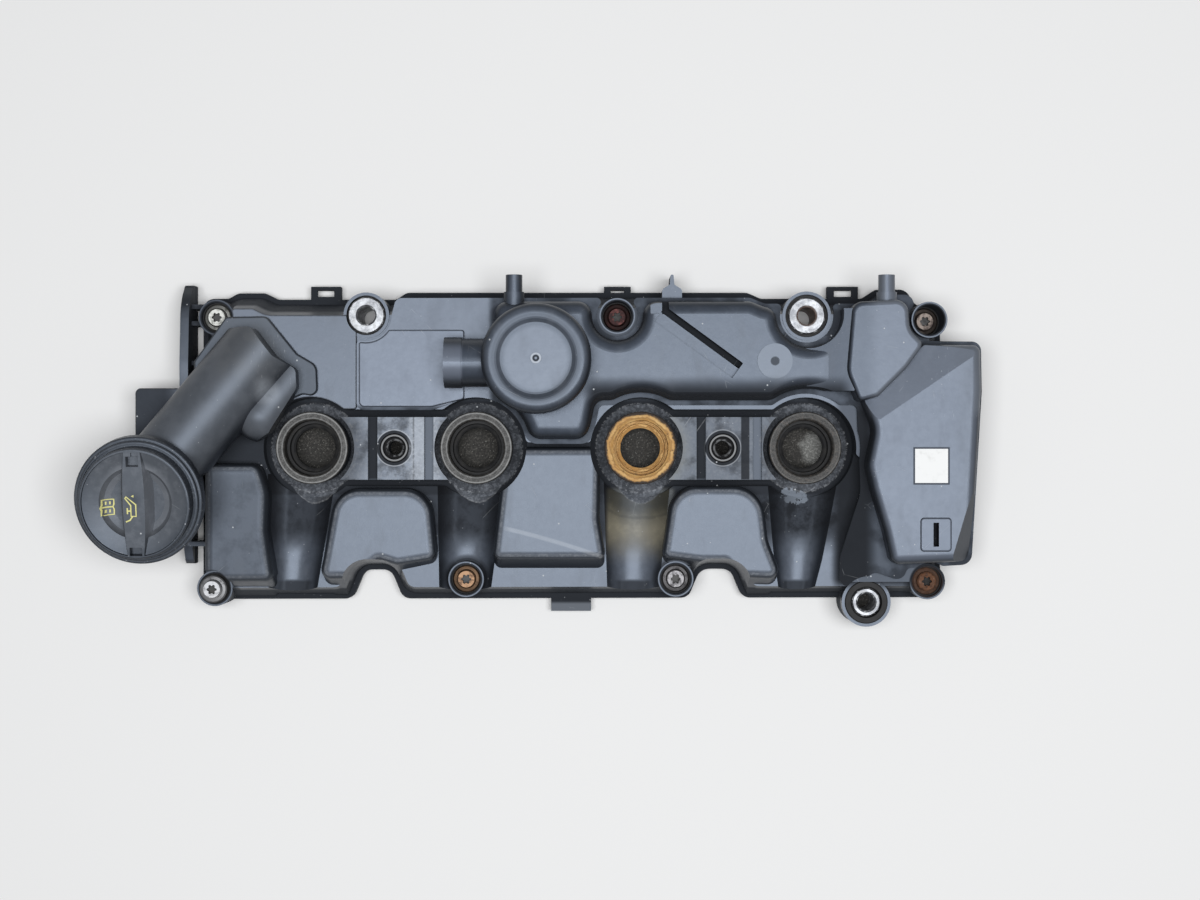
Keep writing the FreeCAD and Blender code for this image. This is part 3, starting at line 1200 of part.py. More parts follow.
def main():
    os.makedirs("parts", exist_ok=True)
    save("cover_base", cover_base())
    save("breather_cover", breather_cover())
    save("filler_neck", filler_neck(), merged=False)
    save("filler_cap", filler_cap())
    save("cap_seal", cap_seal())
    save("regulator_lid", regulator_lid())
    save("regulator_diaphragm", regulator_diaphragm())
    save("regulator_plate", regulator_plate())
    save("regulator_spring", regulator_spring())
    save("perimeter_gasket", perimeter_gasket())
    for n in range(WELLS):
        save(f"well_collar_{n + 1}", well_collar(n))
        save(f"well_seal_{n + 1}", well_seal(n))
    for n in (0, 1):
        save(f"clamp_seal_{n + 1}", clamp_seal(n))
        save(f"oil_baffle_{n + 1}", oil_baffle(n))
    for n in range(len(SCREWS)):
        save(f"cover_screw_{n + 1}", cover_screw(n))
        save(f"screw_grommet_{n + 1}", screw_grommet(n))
    for n in range(len(SLEEVES)):
        save(f"mount_sleeve_{n + 1}", mount_sleeve(n))
        save(f"sleeve_grommet_{n + 1}", sleeve_grommet(n))


if __name__ == "__main__":
    main()
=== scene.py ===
# %% [markdown]
# # An engine valve cover, seen from straight above
#
# This notebook dresses a finished CAD model of a moulded cylinder head cover: black plastic with a
# grey bloom on its level faces, an oil filler cap, seven screws that have aged differently, and one
# injector well with a crust of burnt oil. The shapes are mostly there already, so the work is in the
# light, in the finishes, and in a few thin pieces that a solid modeller is a poor tool for.
#
# The solids could be imported and placed by hand. Here one call puts each where the CAD has it.
# From then on they keep their place and mesh, and only get finishes.

import json

import bmesh
import bpy
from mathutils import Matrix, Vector
from mathutils.bvhtree import BVHTree


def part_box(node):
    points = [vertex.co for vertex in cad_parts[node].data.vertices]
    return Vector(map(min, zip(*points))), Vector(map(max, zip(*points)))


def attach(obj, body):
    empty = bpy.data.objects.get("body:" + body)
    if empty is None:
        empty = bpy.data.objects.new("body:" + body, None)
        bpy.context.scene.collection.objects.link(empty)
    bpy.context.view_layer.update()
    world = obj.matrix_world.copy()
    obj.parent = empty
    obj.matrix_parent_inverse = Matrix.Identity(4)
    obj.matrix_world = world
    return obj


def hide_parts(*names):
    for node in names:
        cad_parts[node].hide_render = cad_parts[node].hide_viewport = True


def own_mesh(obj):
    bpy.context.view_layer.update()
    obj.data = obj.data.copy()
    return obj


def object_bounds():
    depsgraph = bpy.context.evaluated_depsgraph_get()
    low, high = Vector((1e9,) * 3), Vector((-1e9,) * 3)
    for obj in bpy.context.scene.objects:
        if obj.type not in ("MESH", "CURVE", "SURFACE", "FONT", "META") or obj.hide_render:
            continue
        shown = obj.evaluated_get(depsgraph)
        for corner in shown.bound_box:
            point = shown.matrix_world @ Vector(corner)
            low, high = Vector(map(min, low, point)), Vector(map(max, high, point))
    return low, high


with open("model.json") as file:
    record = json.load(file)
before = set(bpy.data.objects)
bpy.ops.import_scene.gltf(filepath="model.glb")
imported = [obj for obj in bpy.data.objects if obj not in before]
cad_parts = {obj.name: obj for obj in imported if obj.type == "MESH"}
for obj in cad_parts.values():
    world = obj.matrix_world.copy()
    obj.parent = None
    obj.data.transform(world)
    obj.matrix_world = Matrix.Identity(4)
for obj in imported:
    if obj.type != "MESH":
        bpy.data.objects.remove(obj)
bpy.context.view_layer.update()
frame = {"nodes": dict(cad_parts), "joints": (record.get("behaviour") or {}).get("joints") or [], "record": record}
nodes = frame["nodes"]
mounts = {mount["name"]: mount for mount in frame["record"]["mounts"]}
joints = {joint["name"]: joint for joint in frame["joints"]}

# %% [markdown]
# The four injector wells are the cover's own ruler. Their centres come with the model as mounts, so
# the middle of the row and the cylinder spacing are read from them and not typed in again. Marks and
# stains could be placed in the frame's metres or in the picture's pixels. Here they are placed in
# millimetres from the middle of the row, as one would measure them on the real cover.

# %% Find the wells and the middle of their row
MM_IN_METRE = 1000


def mount_point(name):
    """Where a mount stands."""
    return Vector(mounts[name]["pos_m"])


def on_row(x, y):
    """A point on the floor, given in millimetres from the middle of the row."""
    return row_middle + Vector((x, y, 0)) / MM_IN_METRE


wells = [mount_point(f"injector_bore_{n}") for n in (1, 2, 3, 4)]
clamps = [mount_point(f"clamp_bore_{n}") for n in (1, 2)]
row_middle = (wells[0] + wells[3]) / 2
row_middle.z = 0
print("middle of the row", tuple(round(c, 5) for c in row_middle))

# %% [markdown]
# ## Camera
#
# The cover was photographed from a little over a metre, looking straight down, with a lens that is
# slightly long. An orthographic camera would be simpler, but high parts would no longer look larger.
# The camera is left unturned, so that up in the picture is the frame's +Y. Its lens follows from the
# width of floor that the picture takes in.

# %% Set the camera above the cover
CAMERA_HEIGHT = 1.10
PICTURE_WIDTH_ON_FLOOR = 0.6607
SENSOR_WIDTH = 36.0
picture_middle = on_row(22.2, -1.1)

camera_data = bpy.data.cameras.new("overhead_camera")
camera_data.sensor_width = SENSOR_WIDTH
camera_data.lens = SENSOR_WIDTH * CAMERA_HEIGHT / PICTURE_WIDTH_ON_FLOOR
camera = bpy.data.objects.new("overhead_camera", camera_data)
bpy.context.scene.collection.objects.link(camera)
camera.location = (picture_middle.x, picture_middle.y, CAMERA_HEIGHT)
bpy.context.scene.camera = camera
bpy.context.scene.view_settings.view_transform = "Standard"
print("lens", round(camera_data.lens, 1), "mm")

# %% [markdown]
# ## Light
#
# Black plastic hardly shows its own colour. What the eye reads is the lamp's reflection in it. A sun
# or a small lamp would give hard shadows and a few bright dots, so the lamp is a wide soft panel above
# the camera: every level face mirrors it and turns grey, and every steep face looks past it and stays
# dark. The panel is long along the cover, so that both ends mirror it, and narrow across it, so that
# slopes go dark soon. It hangs a little to the right and to the front, which keeps the cap end and
# the back deck a shade darker. A dim even world fills the rest.

# %% Hang the soft panel in an evenly lit room
PANEL_SIZE = (1.75, 0.72)
PANEL_HEIGHT = 2.1
PANEL_SHIFT = (0.10, -0.07)
PANEL_POWER = 46.0
PANEL_COLOUR = (0.96, 0.98, 1.0)
WORLD_GREY = 0.13

panel_data = bpy.data.lights.new("soft_panel", "AREA")
panel_data.shape = "RECTANGLE"
panel_data.size, panel_data.size_y = PANEL_SIZE
panel_data.energy = PANEL_POWER
panel_data.color = PANEL_COLOUR
panel = bpy.data.objects.new("soft_panel", panel_data)
bpy.context.scene.collection.objects.link(panel)
panel.location = (picture_middle.x + PANEL_SHIFT[0], picture_middle.y + PANEL_SHIFT[1], PANEL_HEIGHT)

world = bpy.data.worlds.new("even_room")
bpy.context.scene.world = world
world.use_nodes = True
world.node_tree.nodes["Background"].inputs["Color"].default_value = (WORLD_GREY,) * 3 + (1,)
print("panel", PANEL_SIZE, "at", tuple(round(c, 3) for c in panel.location))

# %% [markdown]
# ## A small language for finishes
#
# Every finish below is a tree of shader nodes. Built with one line of code for each node and each
# link, a sum of three masks takes ten lines. The class below wraps a socket, so that Python's own
# operators add Math nodes and `1 - mask * 0.5` reads as it is meant. Its soft steps turn a height or
# a distance into a mask, which is 1 in one place and 0 elsewhere.


# %% Sockets that take part in sums
class Number:
    """A socket that carries a number, with operators that add Math nodes."""

    def __init__(self, finish, socket):
        self.finish = finish
        self.socket = socket

    def sum_with(self, operation, *values):
        return self.finish.node("ShaderNodeMath", {"operation": operation}, dict(enumerate(values)))

    def __add__(self, other):
        return self.sum_with("ADD", self, other)

    def __radd__(self, other):
        return self.sum_with("ADD", other, self)

    def __sub__(self, other):
        return self.sum_with("SUBTRACT", self, other)

    def __rsub__(self, other):
        return self.sum_with("SUBTRACT", other, self)

    def __mul__(self, other):
        return self.sum_with("MULTIPLY", self, other)

    def least(self, other):
        return self.sum_with("MINIMUM", self, other)

    def most(self, other):
        return self.sum_with("MAXIMUM", self, other)

    def fold(self, length):
        """Runs back and forth between 0 and length as the number grows."""
        return self.sum_with("PINGPONG", self, length)

    def wave(self):
        """Swings smoothly between 0 and 1 as the number grows."""
        return self.sum_with("SINE", self) * 0.5 + 0.5

    def between(self, low, high):
        """0 below low, 1 above high, and a soft ramp between them."""
        return self.finish.node("ShaderNodeMapRange", {"interpolation_type": "SMOOTHSTEP"},
                                {"Value": self, "From Min": low, "From Max": high})

    def below(self, low, high):
        """The same ramp the other way round: 1 below low, 0 above high."""
        return 1 - self.between(low, high)

    def within(self, near, far):
        """1 while the number is closer to zero than near, 0 once it is beyond far."""
        return (self * self).below(near ** 2, far ** 2)

    def window(self, low, high, soft):
        """1 from low to high and 0 outside, with soft edges."""
        return self.between(low - soft, low + soft) * self.below(high - soft, high + soft)


print("operators ready")

# %% [markdown]
# A finish is one material with one Principled shader. The class keeps the plumbing in one place: it
# adds a node from its type, its settings and its inputs, blends two colours, and feeds the shader.
# Nodes that are asked for often, such as the coordinates, are made once, so the trees stay small.


# %% One material and its nodes
class Graph:
    """The nodes of one material, round its Principled shader."""

    def __init__(self, name, **constants):
        self.material = bpy.data.materials.new(name)
        self.material.use_nodes = True
        self.tree = self.material.node_tree
        self.shader = self.tree.nodes["Principled BSDF"]
        for socket, value in constants.items():
            self.shader.inputs[socket.replace("_", " ")].default_value = value
        self.kept = {}

    def node(self, kind, settings=None, inputs=None, output=0):
        """Adds a node and returns one of its outputs."""
        node = self.tree.nodes.new(kind)
        for key, value in (settings or {}).items():
            setattr(node, key, value)
        for key, value in (inputs or {}).items():
            socket = node.inputs[key]
            if isinstance(value, Number):
                self.tree.links.new(value.socket, socket)
            else:
                socket.default_value = value
        return Number(self, node.outputs[output])

    def keep(self, key, make):
        """Makes a node once and hands the same one out again."""
        if key not in self.kept:
            self.kept[key] = make()
        return self.kept[key]

    def blend(self, factor, first, second):
        """A colour between two others."""
        return self.node("ShaderNodeMix", {"data_type": "RGBA"}, {0: factor, 6: first, 7: second}, 2)

    def put(self, socket, value):
        """Feeds one socket of the shader."""
        if isinstance(value, Number):
            self.tree.links.new(value.socket, self.shader.inputs[socket])
        else:
            self.shader.inputs[socket].default_value = value

    def relief(self, height, depth, strength):
        """Turns a height, where 1 is depth metres, into the shading of small relief."""
        bump = self.node("ShaderNodeBump", None,
                         {"Height": height, "Distance": depth, "Strength": strength})
        self.put("Normal", bump)


print("graph class ready")

# %% [markdown]
# Dirt and wear could be painted into images that are unwrapped onto each piece. Here they are worked
# out from the point that is shaded, so they need no unwrapping, never stretch, and run on from one
# face to the next. They read Object coordinates, which travel with a piece when it moves.


# %% Patterns that every finish can use
class Finish(Graph):
    """A material whose patterns know where they lie on the cover."""

    def here(self):
        """The point on the object that is shaded, in metres."""
        return self.keep("here", lambda: self.node("ShaderNodeTexCoord", output="Object"))

    def mm(self, name):
        """One coordinate in millimetres, across and along from the middle of the injector row."""
        start = {"X": row_middle.x, "Y": row_middle.y, "Z": 0.0}[name]

        def make():
            metres = self.node("ShaderNodeSeparateXYZ", None, {0: self.here()}, name)
            return (metres - start) * MM_IN_METRE

        return self.keep(name, make)

    def patch(self, left, right, front, back, soft):
        """1 inside a rectangle that is measured from the middle of the row."""
        return self.mm("X").window(left, right, soft) * self.mm("Y").window(front, back, soft)

    def noise(self, size, detail=3.0, roughness=0.55, stretch=None):
        """Cloudy noise whose features are about size metres across."""
        place = self.here()
        if stretch:
            place = self.node("ShaderNodeMapping", None, {"Vector": place, "Scale": stretch})
        return self.node("ShaderNodeTexNoise", None,
                         {"Vector": place, "Scale": 1 / size, "Detail": detail, "Roughness": roughness})

    def cells(self, size, feature="F1"):
        """Distance to the nearest of many scattered points, or to the edges between their cells."""
        return self.node("ShaderNodeTexVoronoi", {"feature": feature},
                         {"Vector": self.here(), "Scale": 1 / size}, "Distance")

    def reach(self, point):
        """Distance from a point in millimetres, measured along the floor."""
        flat = self.keep("flat", lambda: self.node("ShaderNodeVectorMath", {"operation": "MULTIPLY"},
                                                   {0: self.here(), 1: (1, 1, 0)}))
        metres = self.node("ShaderNodeVectorMath", {"operation": "DISTANCE"},
                           {0: flat, 1: (point[0], point[1], 0)}, "Value")
        return metres * MM_IN_METRE

    def nearest(self, points):
        """Distance in millimetres to the nearest of some points."""
        reaches = [self.reach(point) for point in points]
        closest = reaches[0]
        for other in reaches[1:]:
            closest = closest.least(other)
        return closest

    def tilt(self):
        """How far up a face looks: 1 for a level face, 0 for an upright one."""
        facing = self.keep("facing", lambda: self.node("ShaderNodeNewGeometry", output="Normal"))
        return self.keep("tilt", lambda: self.node("ShaderNodeSeparateXYZ", None, {0: facing}, "Z"))

    def upward(self):
        """1 on level faces, 0 on steep ones."""
        return self.keep("upward", lambda: self.tilt().between(0.60, 0.97))


print("finish class ready")

# %% [markdown]
# ## The ground
#
# The picture's pale ground was put in round the cover later, and the holes in the cover still show
# what it really lay on: dark gritty ground. One floor can't be both. So the floor is pale, and two
# small sheets lie a hair above it inside the cover's footprint, a strip under the row of wells and a
# spot under the third sleeve, where they are seen through the bores only. Their near black is partly
# painted shade: it stands for the shadow under the cover, where the lamp would else light them
# through the bores.

# %% Lay the floor and the two sheets
FLOOR_HALF = (3.0, 3.0)
STRIP_HALF = (0.155, 0.016)
SPOT_HALF = (0.006, 0.006)
FLOOR_GAP = 0.0004
SHEET_GAP = 0.0002


def sheet_on_floor(name, half_size, place):
    """A flat sheet that belongs to the stage."""
    bm = bmesh.new()
    bmesh.ops.create_grid(bm, x_segments=1, y_segments=1, size=1.0)
    bmesh.ops.scale(bm, vec=(*half_size, 1), verts=bm.verts)
    mesh = bpy.data.meshes.new(name)
    bm.to_mesh(mesh)
    bm.free()
    sheet = bpy.data.objects.new(name, mesh)
    bpy.context.scene.collection.objects.link(sheet)
    sheet.location = place
    return sheet


floor_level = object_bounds()[0][2] - FLOOR_GAP
just_above = Vector((0, 0, floor_level + SHEET_GAP))
below_sleeve = mount_point("sleeve_bore_3")
below_sleeve.z = 0
floor = sheet_on_floor("floor", FLOOR_HALF, (0, 0, floor_level))
ground_strip = sheet_on_floor("grit_and_shade_under_wells", STRIP_HALF, row_middle + just_above)
ground_spot = sheet_on_floor("grit_and_shade_under_sleeve", SPOT_HALF, below_sleeve + just_above)
print("floor at", round(floor_level, 5))

# %% [markdown]
# The floor is plain and matt, as a paper backdrop is. The grit is sand and stone dust, dark where it
# is damp. Thousands of tiny stones could be scattered, but the bores show only small discs of it, so
# noise at three sizes does: grains, damp clouds and a few pale sparkles. Below the fourth well it is
# pale sand.


# %% Paint the floor and the grit
def rgb(red, green, blue):
    return (red, green, blue, 1)


pale = Finish("pale_ground", Roughness=0.9)
pale.put("Base Color", rgb(0.83, 0.82, 0.81))
floor.data.materials.append(pale.material)

grit = Finish("dark_grit_and_shade", Roughness=0.85, Specular_IOR_Level=0.3)
grain = grit.noise(0.0012, detail=5, roughness=0.7).between(0.42, 0.66)
damp = grit.noise(0.012, detail=2).between(0.4, 0.6)
sparkle = grit.cells(0.0016).below(0.10, 0.20)
sand_middle = wells[3] - Vector((0.001, 0.002, 0))
from_sand = grit.reach(sand_middle) + grit.noise(0.006, detail=4) * 9
sand = grit.blend(grain, rgb(0.20, 0.20, 0.19), rgb(0.50, 0.50, 0.48))
# Painted shade: the grit's near black stands partly for the shadow under the cover.
ground = grit.blend(grain, rgb(0.030, 0.029, 0.027), rgb(0.115, 0.108, 0.098))
ground = grit.blend(damp * 0.5, ground, rgb(0.035, 0.034, 0.032))
ground = grit.blend(sparkle * 0.4, ground, rgb(0.45, 0.44, 0.41))
ground = grit.blend(from_sand.below(12, 16) * 0.7, ground, sand)
grit.put("Base Color", ground)
grit.relief(grain, 0.0004, 0.6)
for sheet in (ground_strip, ground_spot):
    sheet.data.materials.append(grit.material)
print("floor, strip and spot painted")

# %% [markdown]
# ## Black plastic
#
# The cover is glass-filled nylon with a fine moulded grain. After years over an engine its level
# faces carry a thin bluish grey film, its walls stay black, and dust shows as pinprick specks and
# hairline scratches. The film follows how far a face looks up, so it is also painted light: it lifts
# level and gently sloping faces the way light from above would. One noise could drive all of it, but
# one pattern in colour, gloss and relief looks like paint on a ball. So each gets its own, at its own
# size.
#
# Every piece of plastic starts from this mix, and its own marks are laid over it. `tint` lays a
# stain, and also the painted highlights and painted light below. `dull` lays black oily dirt, and in
# low places painted shade: it takes film and shine away where it lies level, and stays wet on slopes,
# which then mirror the dark room.

# %% The recipe for plastic
WALL_BLACK = rgb(0.014, 0.016, 0.020)
FILM_AND_TOP_LIGHT = rgb(0.098, 0.112, 0.140)
OIL_AND_SHADE_BLACK = rgb(0.008, 0.008, 0.009)
DUST = rgb(0.50, 0.51, 0.52)
PALE_DUST = rgb(0.190, 0.200, 0.218)
COOL_SHEEN = rgb(0.74, 0.84, 1.0)
WET_ROUGHNESS = 0.42


class Plastic(Finish):
    def __init__(self, name, film=FILM_AND_TOP_LIGHT, gloss=0.34):
        super().__init__(name, Specular_IOR_Level=0.62, Specular_Tint=COOL_SHEEN)
        cloud = self.noise(0.05, detail=4).between(0.3, 0.7)
        streak = self.noise(0.010, detail=5, stretch=(1, 0.4, 1)).between(0.5, 0.75)
        mottle = self.noise(0.0035, detail=6, roughness=0.7).between(0.35, 0.7)
        # The film is also painted light: level and gently sloping faces are lifted as light from above would.
        film_and_top_light = self.upward() * (0.54 + cloud * 0.29 + mottle * 0.17)
        self.colour = self.blend(film_and_top_light, WALL_BLACK, film)
        self.colour = self.blend(streak * self.upward() * 0.16, self.colour, PALE_DUST)
        self.rough = gloss + cloud * 0.03 + streak * 0.05 + mottle * 0.03
        self.height = self.noise(0.0007, detail=2) * 0.5 + mottle * 0.5

    def tint(self, mask, colour, rough=None):
        """A stain or a lighter place."""
        self.colour = self.blend(mask, self.colour, colour)
        if rough is not None:
            self.rough = self.rough * (1 - mask) + mask * rough

    def dull(self, mask, rough=0.9):
        """Black dirt, and painted shade in low places: matt where it lies level, still wet on slopes."""
        wet_slope = self.keep("wet", lambda: self.tilt().window(0.60, 0.93, 0.03))
        self.tint(mask, OIL_AND_SHADE_BLACK, rough - wet_slope * (rough - WET_ROUGHNESS))

    def scuffs(self, mask, size=0.004, stretch=(4, 0.5, 1), amount=0.8):
        """Short pale scratches that run one way."""
        lines = self.noise(size, detail=6, roughness=0.75, stretch=stretch).between(0.60, 0.70)
        self.tint(lines * mask * amount, DUST, 0.6)

    def finish(self):
        """Adds specks and hairlines on top of everything and feeds the shader."""
        coarse = self.cells(0.0105).below(0.032, 0.050)
        fine = self.cells(0.0042).below(0.05, 0.09) * self.noise(0.03).between(0.42, 0.7)
        hair = self.cells(0.034, feature="DISTANCE_TO_EDGE").below(0.0, 0.0045)
        hair = hair * self.noise(0.018).between(0.58, 0.68)
        specks = (coarse * 0.9).most(fine * 0.5).most(hair * 0.3)
        self.tint(self.upward() * specks, DUST, 0.6)
        self.put("Base Color", self.colour)
        self.put("Roughness", self.rough)
        self.relief(self.height - hair * 0.4, 0.00005, 0.45)


print("plastic recipe ready")

# %% [markdown]
# ## The lower moulding
#
# Dirt follows the shape of the real cover: dust stays on what stands proud, and a leaking well stains
# the scoop below it. What lies low is painted black, as oil and as painted shade for the darkness that
# falls low on the cover. So the places are named first, as heights in millimetres above the sealing
# plane and as three noises, and each layer is then a product of them. The number at the end of a
# product says how strong that layer is.

# %% Name the places on the lower moulding
base = Plastic("cover_base_plastic")
x, y, z = (base.mm(name) for name in "XYZ")
wobble = base.noise(0.012, detail=5) * 8 - 4
speckle = base.noise(0.0016, detail=5, roughness=0.75).between(0.45, 0.62)
smear = base.noise(0.009, detail=5, roughness=0.65).between(0.45, 0.68)
low_down = z.below(23.0, 29.0)
rim_level = z.window(14.0, 33.0, 1.0)
bridge_level = z.window(25.0, 31.0, 0.5)
plateau_level = z.between(30.0, 34.0)
print("heights and noises named")

# %% [markdown]
# Two bridges join the wells in pairs. They stand proud, so they are dusty and pale, with the black
# plastic showing through in smears. The rounded edges of the plateaus get a painted highlight, a thin
# pale line where they would catch the light. A mask from a pointiness node depends on how fine the
# mesh is, so it is read from the tilt of the face: a rounded edge is neither level nor steep.

# %% Dust the bridges and paint highlights on the edges
bridge_length = (x * x).window(20.0 ** 2, 134.0 ** 2, 60)
bridge = z.window(29.0, 31.2, 0.5) * y.within(17.5, 21.0) * bridge_length
base.tint(bridge * (0.32 + speckle * 0.45), PALE_DUST, 0.42)
base.dull(bridge * smear * 0.45)
# Painted highlight on the rounded edges.
edge_highlight = base.tilt().window(0.80, 0.955, 0.03) * z.between(25.0, 28.0)
base.tint(edge_highlight * (0.20 + speckle * 0.35), rgb(0.27, 0.285, 0.31), 0.5)
print("bridges dusted")

# %% [markdown]
# Everything low is painted black and dull: the flange at the foot, the front edge, the pits round the
# wells and the near ends of the four scoops. It is painted shade, as a cover lit from above darkens low
# down, with oil in the scoops as well. A mask that looks for corners would miss most of that, because
# the darkness lies wherever it is low, so height makes this mask. Three more places are darkened: the
# left plateau, the moulding's left end, where it is painted shade for the deep gap behind its end
# plate, and the low ground round the reservoir.

# %% Blacken the low places
# Painted shade low down: flange, front edge, pits and near ends of the scoops; the scoops hold oil too.
flange = z.below(8.6, 11.5)
front_edge = y.below(-72.8, -70.6) * z.below(17.5, 20.5)
pit = low_down * y.within(24.0, 30.0)
scoop = low_down * (y + wobble).between(-58.0, -43.0)
base.dull(flange.most(front_edge * 0.8).most(pit).most(scoop * (0.80 + smear * 0.15)) * 0.96)
left_plateau = x.below(-146.0, -138.0) * plateau_level * y.below(-16.0, -8.0)
base.tint(left_plateau * (0.34 + smear * 0.16), rgb(0.024, 0.027, 0.032), 0.75)
# Painted shade in the deep gap at the moulding's left end.
left_end = x.below(-212.0, -200.0)
round_tank = x.between(146.0, 152.0) * z.below(30.0, 37.0) * y.between(-78.0, -70.0)
base.dull((left_end * 0.75).most(round_tank * 0.9))
print("low places blackened")

# %% [markdown]
# Round each well lies a deep gap. Its grey is painted light: it makes the gap look like the lit, level
# rim of a tube round the well. Caked dust runs out from it in a tongue over the start of the scoop, to
# a pale crumbly lip. Dust this thin needs no mesh, so it is paint. Its edge bends like a parabola.
# `fold` repeats that at each well, and noise keeps the four lips from looking alike.


# %% Paint light into the gaps round the wells and cake the tongues
def along_row(point):
    """How far along the row a point lies, in millimetres."""
    return (point.x - row_middle.x) * MM_IN_METRE


half_pitch = (along_row(wells[1]) - along_row(wells[0])) / 2
beside_well = (x - along_row(wells[0])).fold(half_pitch)
lip = beside_well * beside_well * 0.055 - y + wobble * 0.6 + x.between(90.0, 100.0) * 6
lip_edge = low_down * lip.window(29.5, 30.3, 0.25) * beside_well.below(9.0, 12.0) * y.below(-22.0, -20.0)
tongue = low_down * lip.below(29.4, 30.2) * y.below(-19.0, -16.0)
to_well = base.nearest(wells)
# Painted light: the deep gap round each well is greyed like a lit rim; the tongue is caked dust.
moat = to_well.window(19.2, 23.8, 0.4) * rim_level
caked_and_painted_rim = moat.most(tongue)
base.tint(caked_and_painted_rim * (0.20 + smear * 0.30 + speckle * 0.40), rgb(0.135, 0.140, 0.152), 0.55)
base.tint(lip_edge * (0.3 + speckle * 0.5), rgb(0.20, 0.20, 0.205), 0.6)
moat_edge = to_well.window(23.7, 24.5, 0.2) * rim_level
base.tint(moat_edge * speckle * 0.55, rgb(0.24, 0.24, 0.245), 0.6)
print("wells caked, half a pitch is", round(half_pitch, 2), "mm")

# %% [markdown]
# Each bridge carries the bolt of an injector clamp, in a black ring with a worn edge, and has two
# grooves across it that are packed with dirt. The grooves are in the solid, but they don't lie exactly
# where the photo has them. The dark bands and the pale rubbed strip beside them are laid on here.

# %% Draw the clamp rings and the bands across the bridges
BAND_HALF = 16.8


def band(left, right, soft=0.3):
    """1 on a band straight across a bridge."""
    return base.patch(left, right, -BAND_HALF, BAND_HALF, soft) * bridge_level


to_clamp = base.nearest(clamps)
base.dull(to_clamp.window(7.6, 9.3, 0.2) * 0.9)
base.tint(to_clamp.window(9.5, 9.9, 0.2) * 0.6, DUST, 0.5)
for clamp in clamps:
    groove = x.window(along_row(clamp) - 14.0, along_row(clamp) - 9.2, 0.4)
    base.dull(groove * y.within(16.0, 17.5) * bridge_level * 0.9)
base.dull(band(97.8, 102.2) * 0.85)
base.tint(band(-77.0, -72.0) * 0.45, rgb(0.30, 0.315, 0.34), 0.42)
base.dull(band(-78.1, -77.3, 0.2) * 0.7)
print("clamp rings and bands drawn")

# %% [markdown]
# The third well has leaked. Oil ran down its scoop and dried: dark near the well, olive further out,
# with a thin brown tide line. The fourth scoop is black round its well. A liquid could be simulated,
# but only its dried edge is left to see, so a distance from the well with some wobble is enough.

# %% Stain the third and the fourth scoop
to_third = base.reach(wells[2])
third_scoop = base.patch(26.0, 62.0, -84.0, -22.0, 1.5) * low_down * (1 - caked_and_painted_rim)
dried = (to_third + wobble * 0.5).between(31.0, 46.0)
olive_run = base.blend(dried, rgb(0.052, 0.048, 0.034), rgb(0.235, 0.210, 0.150))
run_length = (to_third + wobble).below(44.0, 66.0)
base.tint(third_scoop * run_length * (0.75 + smear * 0.2), olive_run, 0.5)
tide_line = (to_third + wobble * 0.4).window(37.2, 38.6, 0.5) * third_scoop
base.tint(tide_line * 0.35, rgb(0.040, 0.037, 0.028), 0.6)
fourth_foot = base.reach(wells[3]).window(26.0, 44.0, 2.0) * low_down * y.below(-28.0, -22.0)
base.dull(fourth_foot * smear.most(speckle * 0.5) * 0.9)
print("third and fourth scoop stained")

# %% [markdown]
# A small ragged puddle lies at the mouth of the fourth scoop: an ellipse whose outline is torn by
# noise, because a clean one looks like a sticker. Its pale bluish colour is a painted reflection.

# %% Wet the fourth scoop
PUDDLE_MIDDLE = (127.5, -26.5)
ragged = base.noise(0.0045, detail=6, roughness=0.65) - 0.5
wet_x = (x - PUDDLE_MIDDLE[0]) * 0.13 + ragged * 2.4
wet_y = (y - PUDDLE_MIDDLE[1]) * 0.24 - ragged * 3.0
puddle = (wet_x * wet_x + wet_y * wet_y).below(0.75, 0.95) * low_down
# Painted reflection: the puddle is pale where a wet film would mirror the light.
base.tint(puddle * 0.6, rgb(0.16, 0.18, 0.21), 0.36)
print("puddle at", PUDDLE_MIDDLE)

# %% [markdown]
# The bridges are not equally dusty: the right one is darker, the left one is dark beside the first
# well and carries a painted highlight before the second, and oil has warmed the plastic round the
# third. A pale curved scratch crosses the second plateau. Such weak layers break up what would else
# look sprayed.

# %% Vary the bridges and scratch the second plateau
base.dull(bridge * x.between(50.0, 70.0) * 0.22)
base.dull(bridge * base.reach(wells[0]).below(24.0, 34.0) * 0.35)
# Painted highlight on the left bridge before the second well.
highlight_before_second = bridge * base.patch(-80.0, -64.0, -20.0, 20.0, 2.0)
base.tint(highlight_before_second * (0.35 + speckle * 0.4), rgb(0.34, 0.355, 0.38), 0.42)
base.tint(bridge * to_third.below(20.0, 30.0) * 0.5, rgb(0.21, 0.205, 0.17), 0.5)
from_scratch = y + (x + 27.4) * 0.30 + (x * x) * 0.0012 + 41.6
second_plateau = base.patch(-28.0, 26.0, -70.0, -36.0, 3.0) * plateau_level
base.tint(from_scratch.window(-1.6, 0.6, 0.5) * second_plateau * 0.22, DUST)
print("bridges varied")

# %% [markdown]
# Each screw sits in a boss whose bore is black, with a faint ring of dirt round it where it stands
# low, and a faint ring of painted shade on the rounded edge of the boss. The last boss is rusty inside.
# Seven copies of one mask would do, but the distance to the nearest screw makes all rings at once.
# The front tab and the third plateau are scuffed by hands and tools.


# %% Finish the lower moulding
def middle_of(node):
    """The middle of a solid's box."""
    low, high = (Vector(corner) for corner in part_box(node))
    return (low + high) / 2


def wear(*names, finish):
    """Gives solids a finish."""
    for name in names:
        slots = nodes[name].data.materials
        slots.clear()
        slots.append(finish.material)


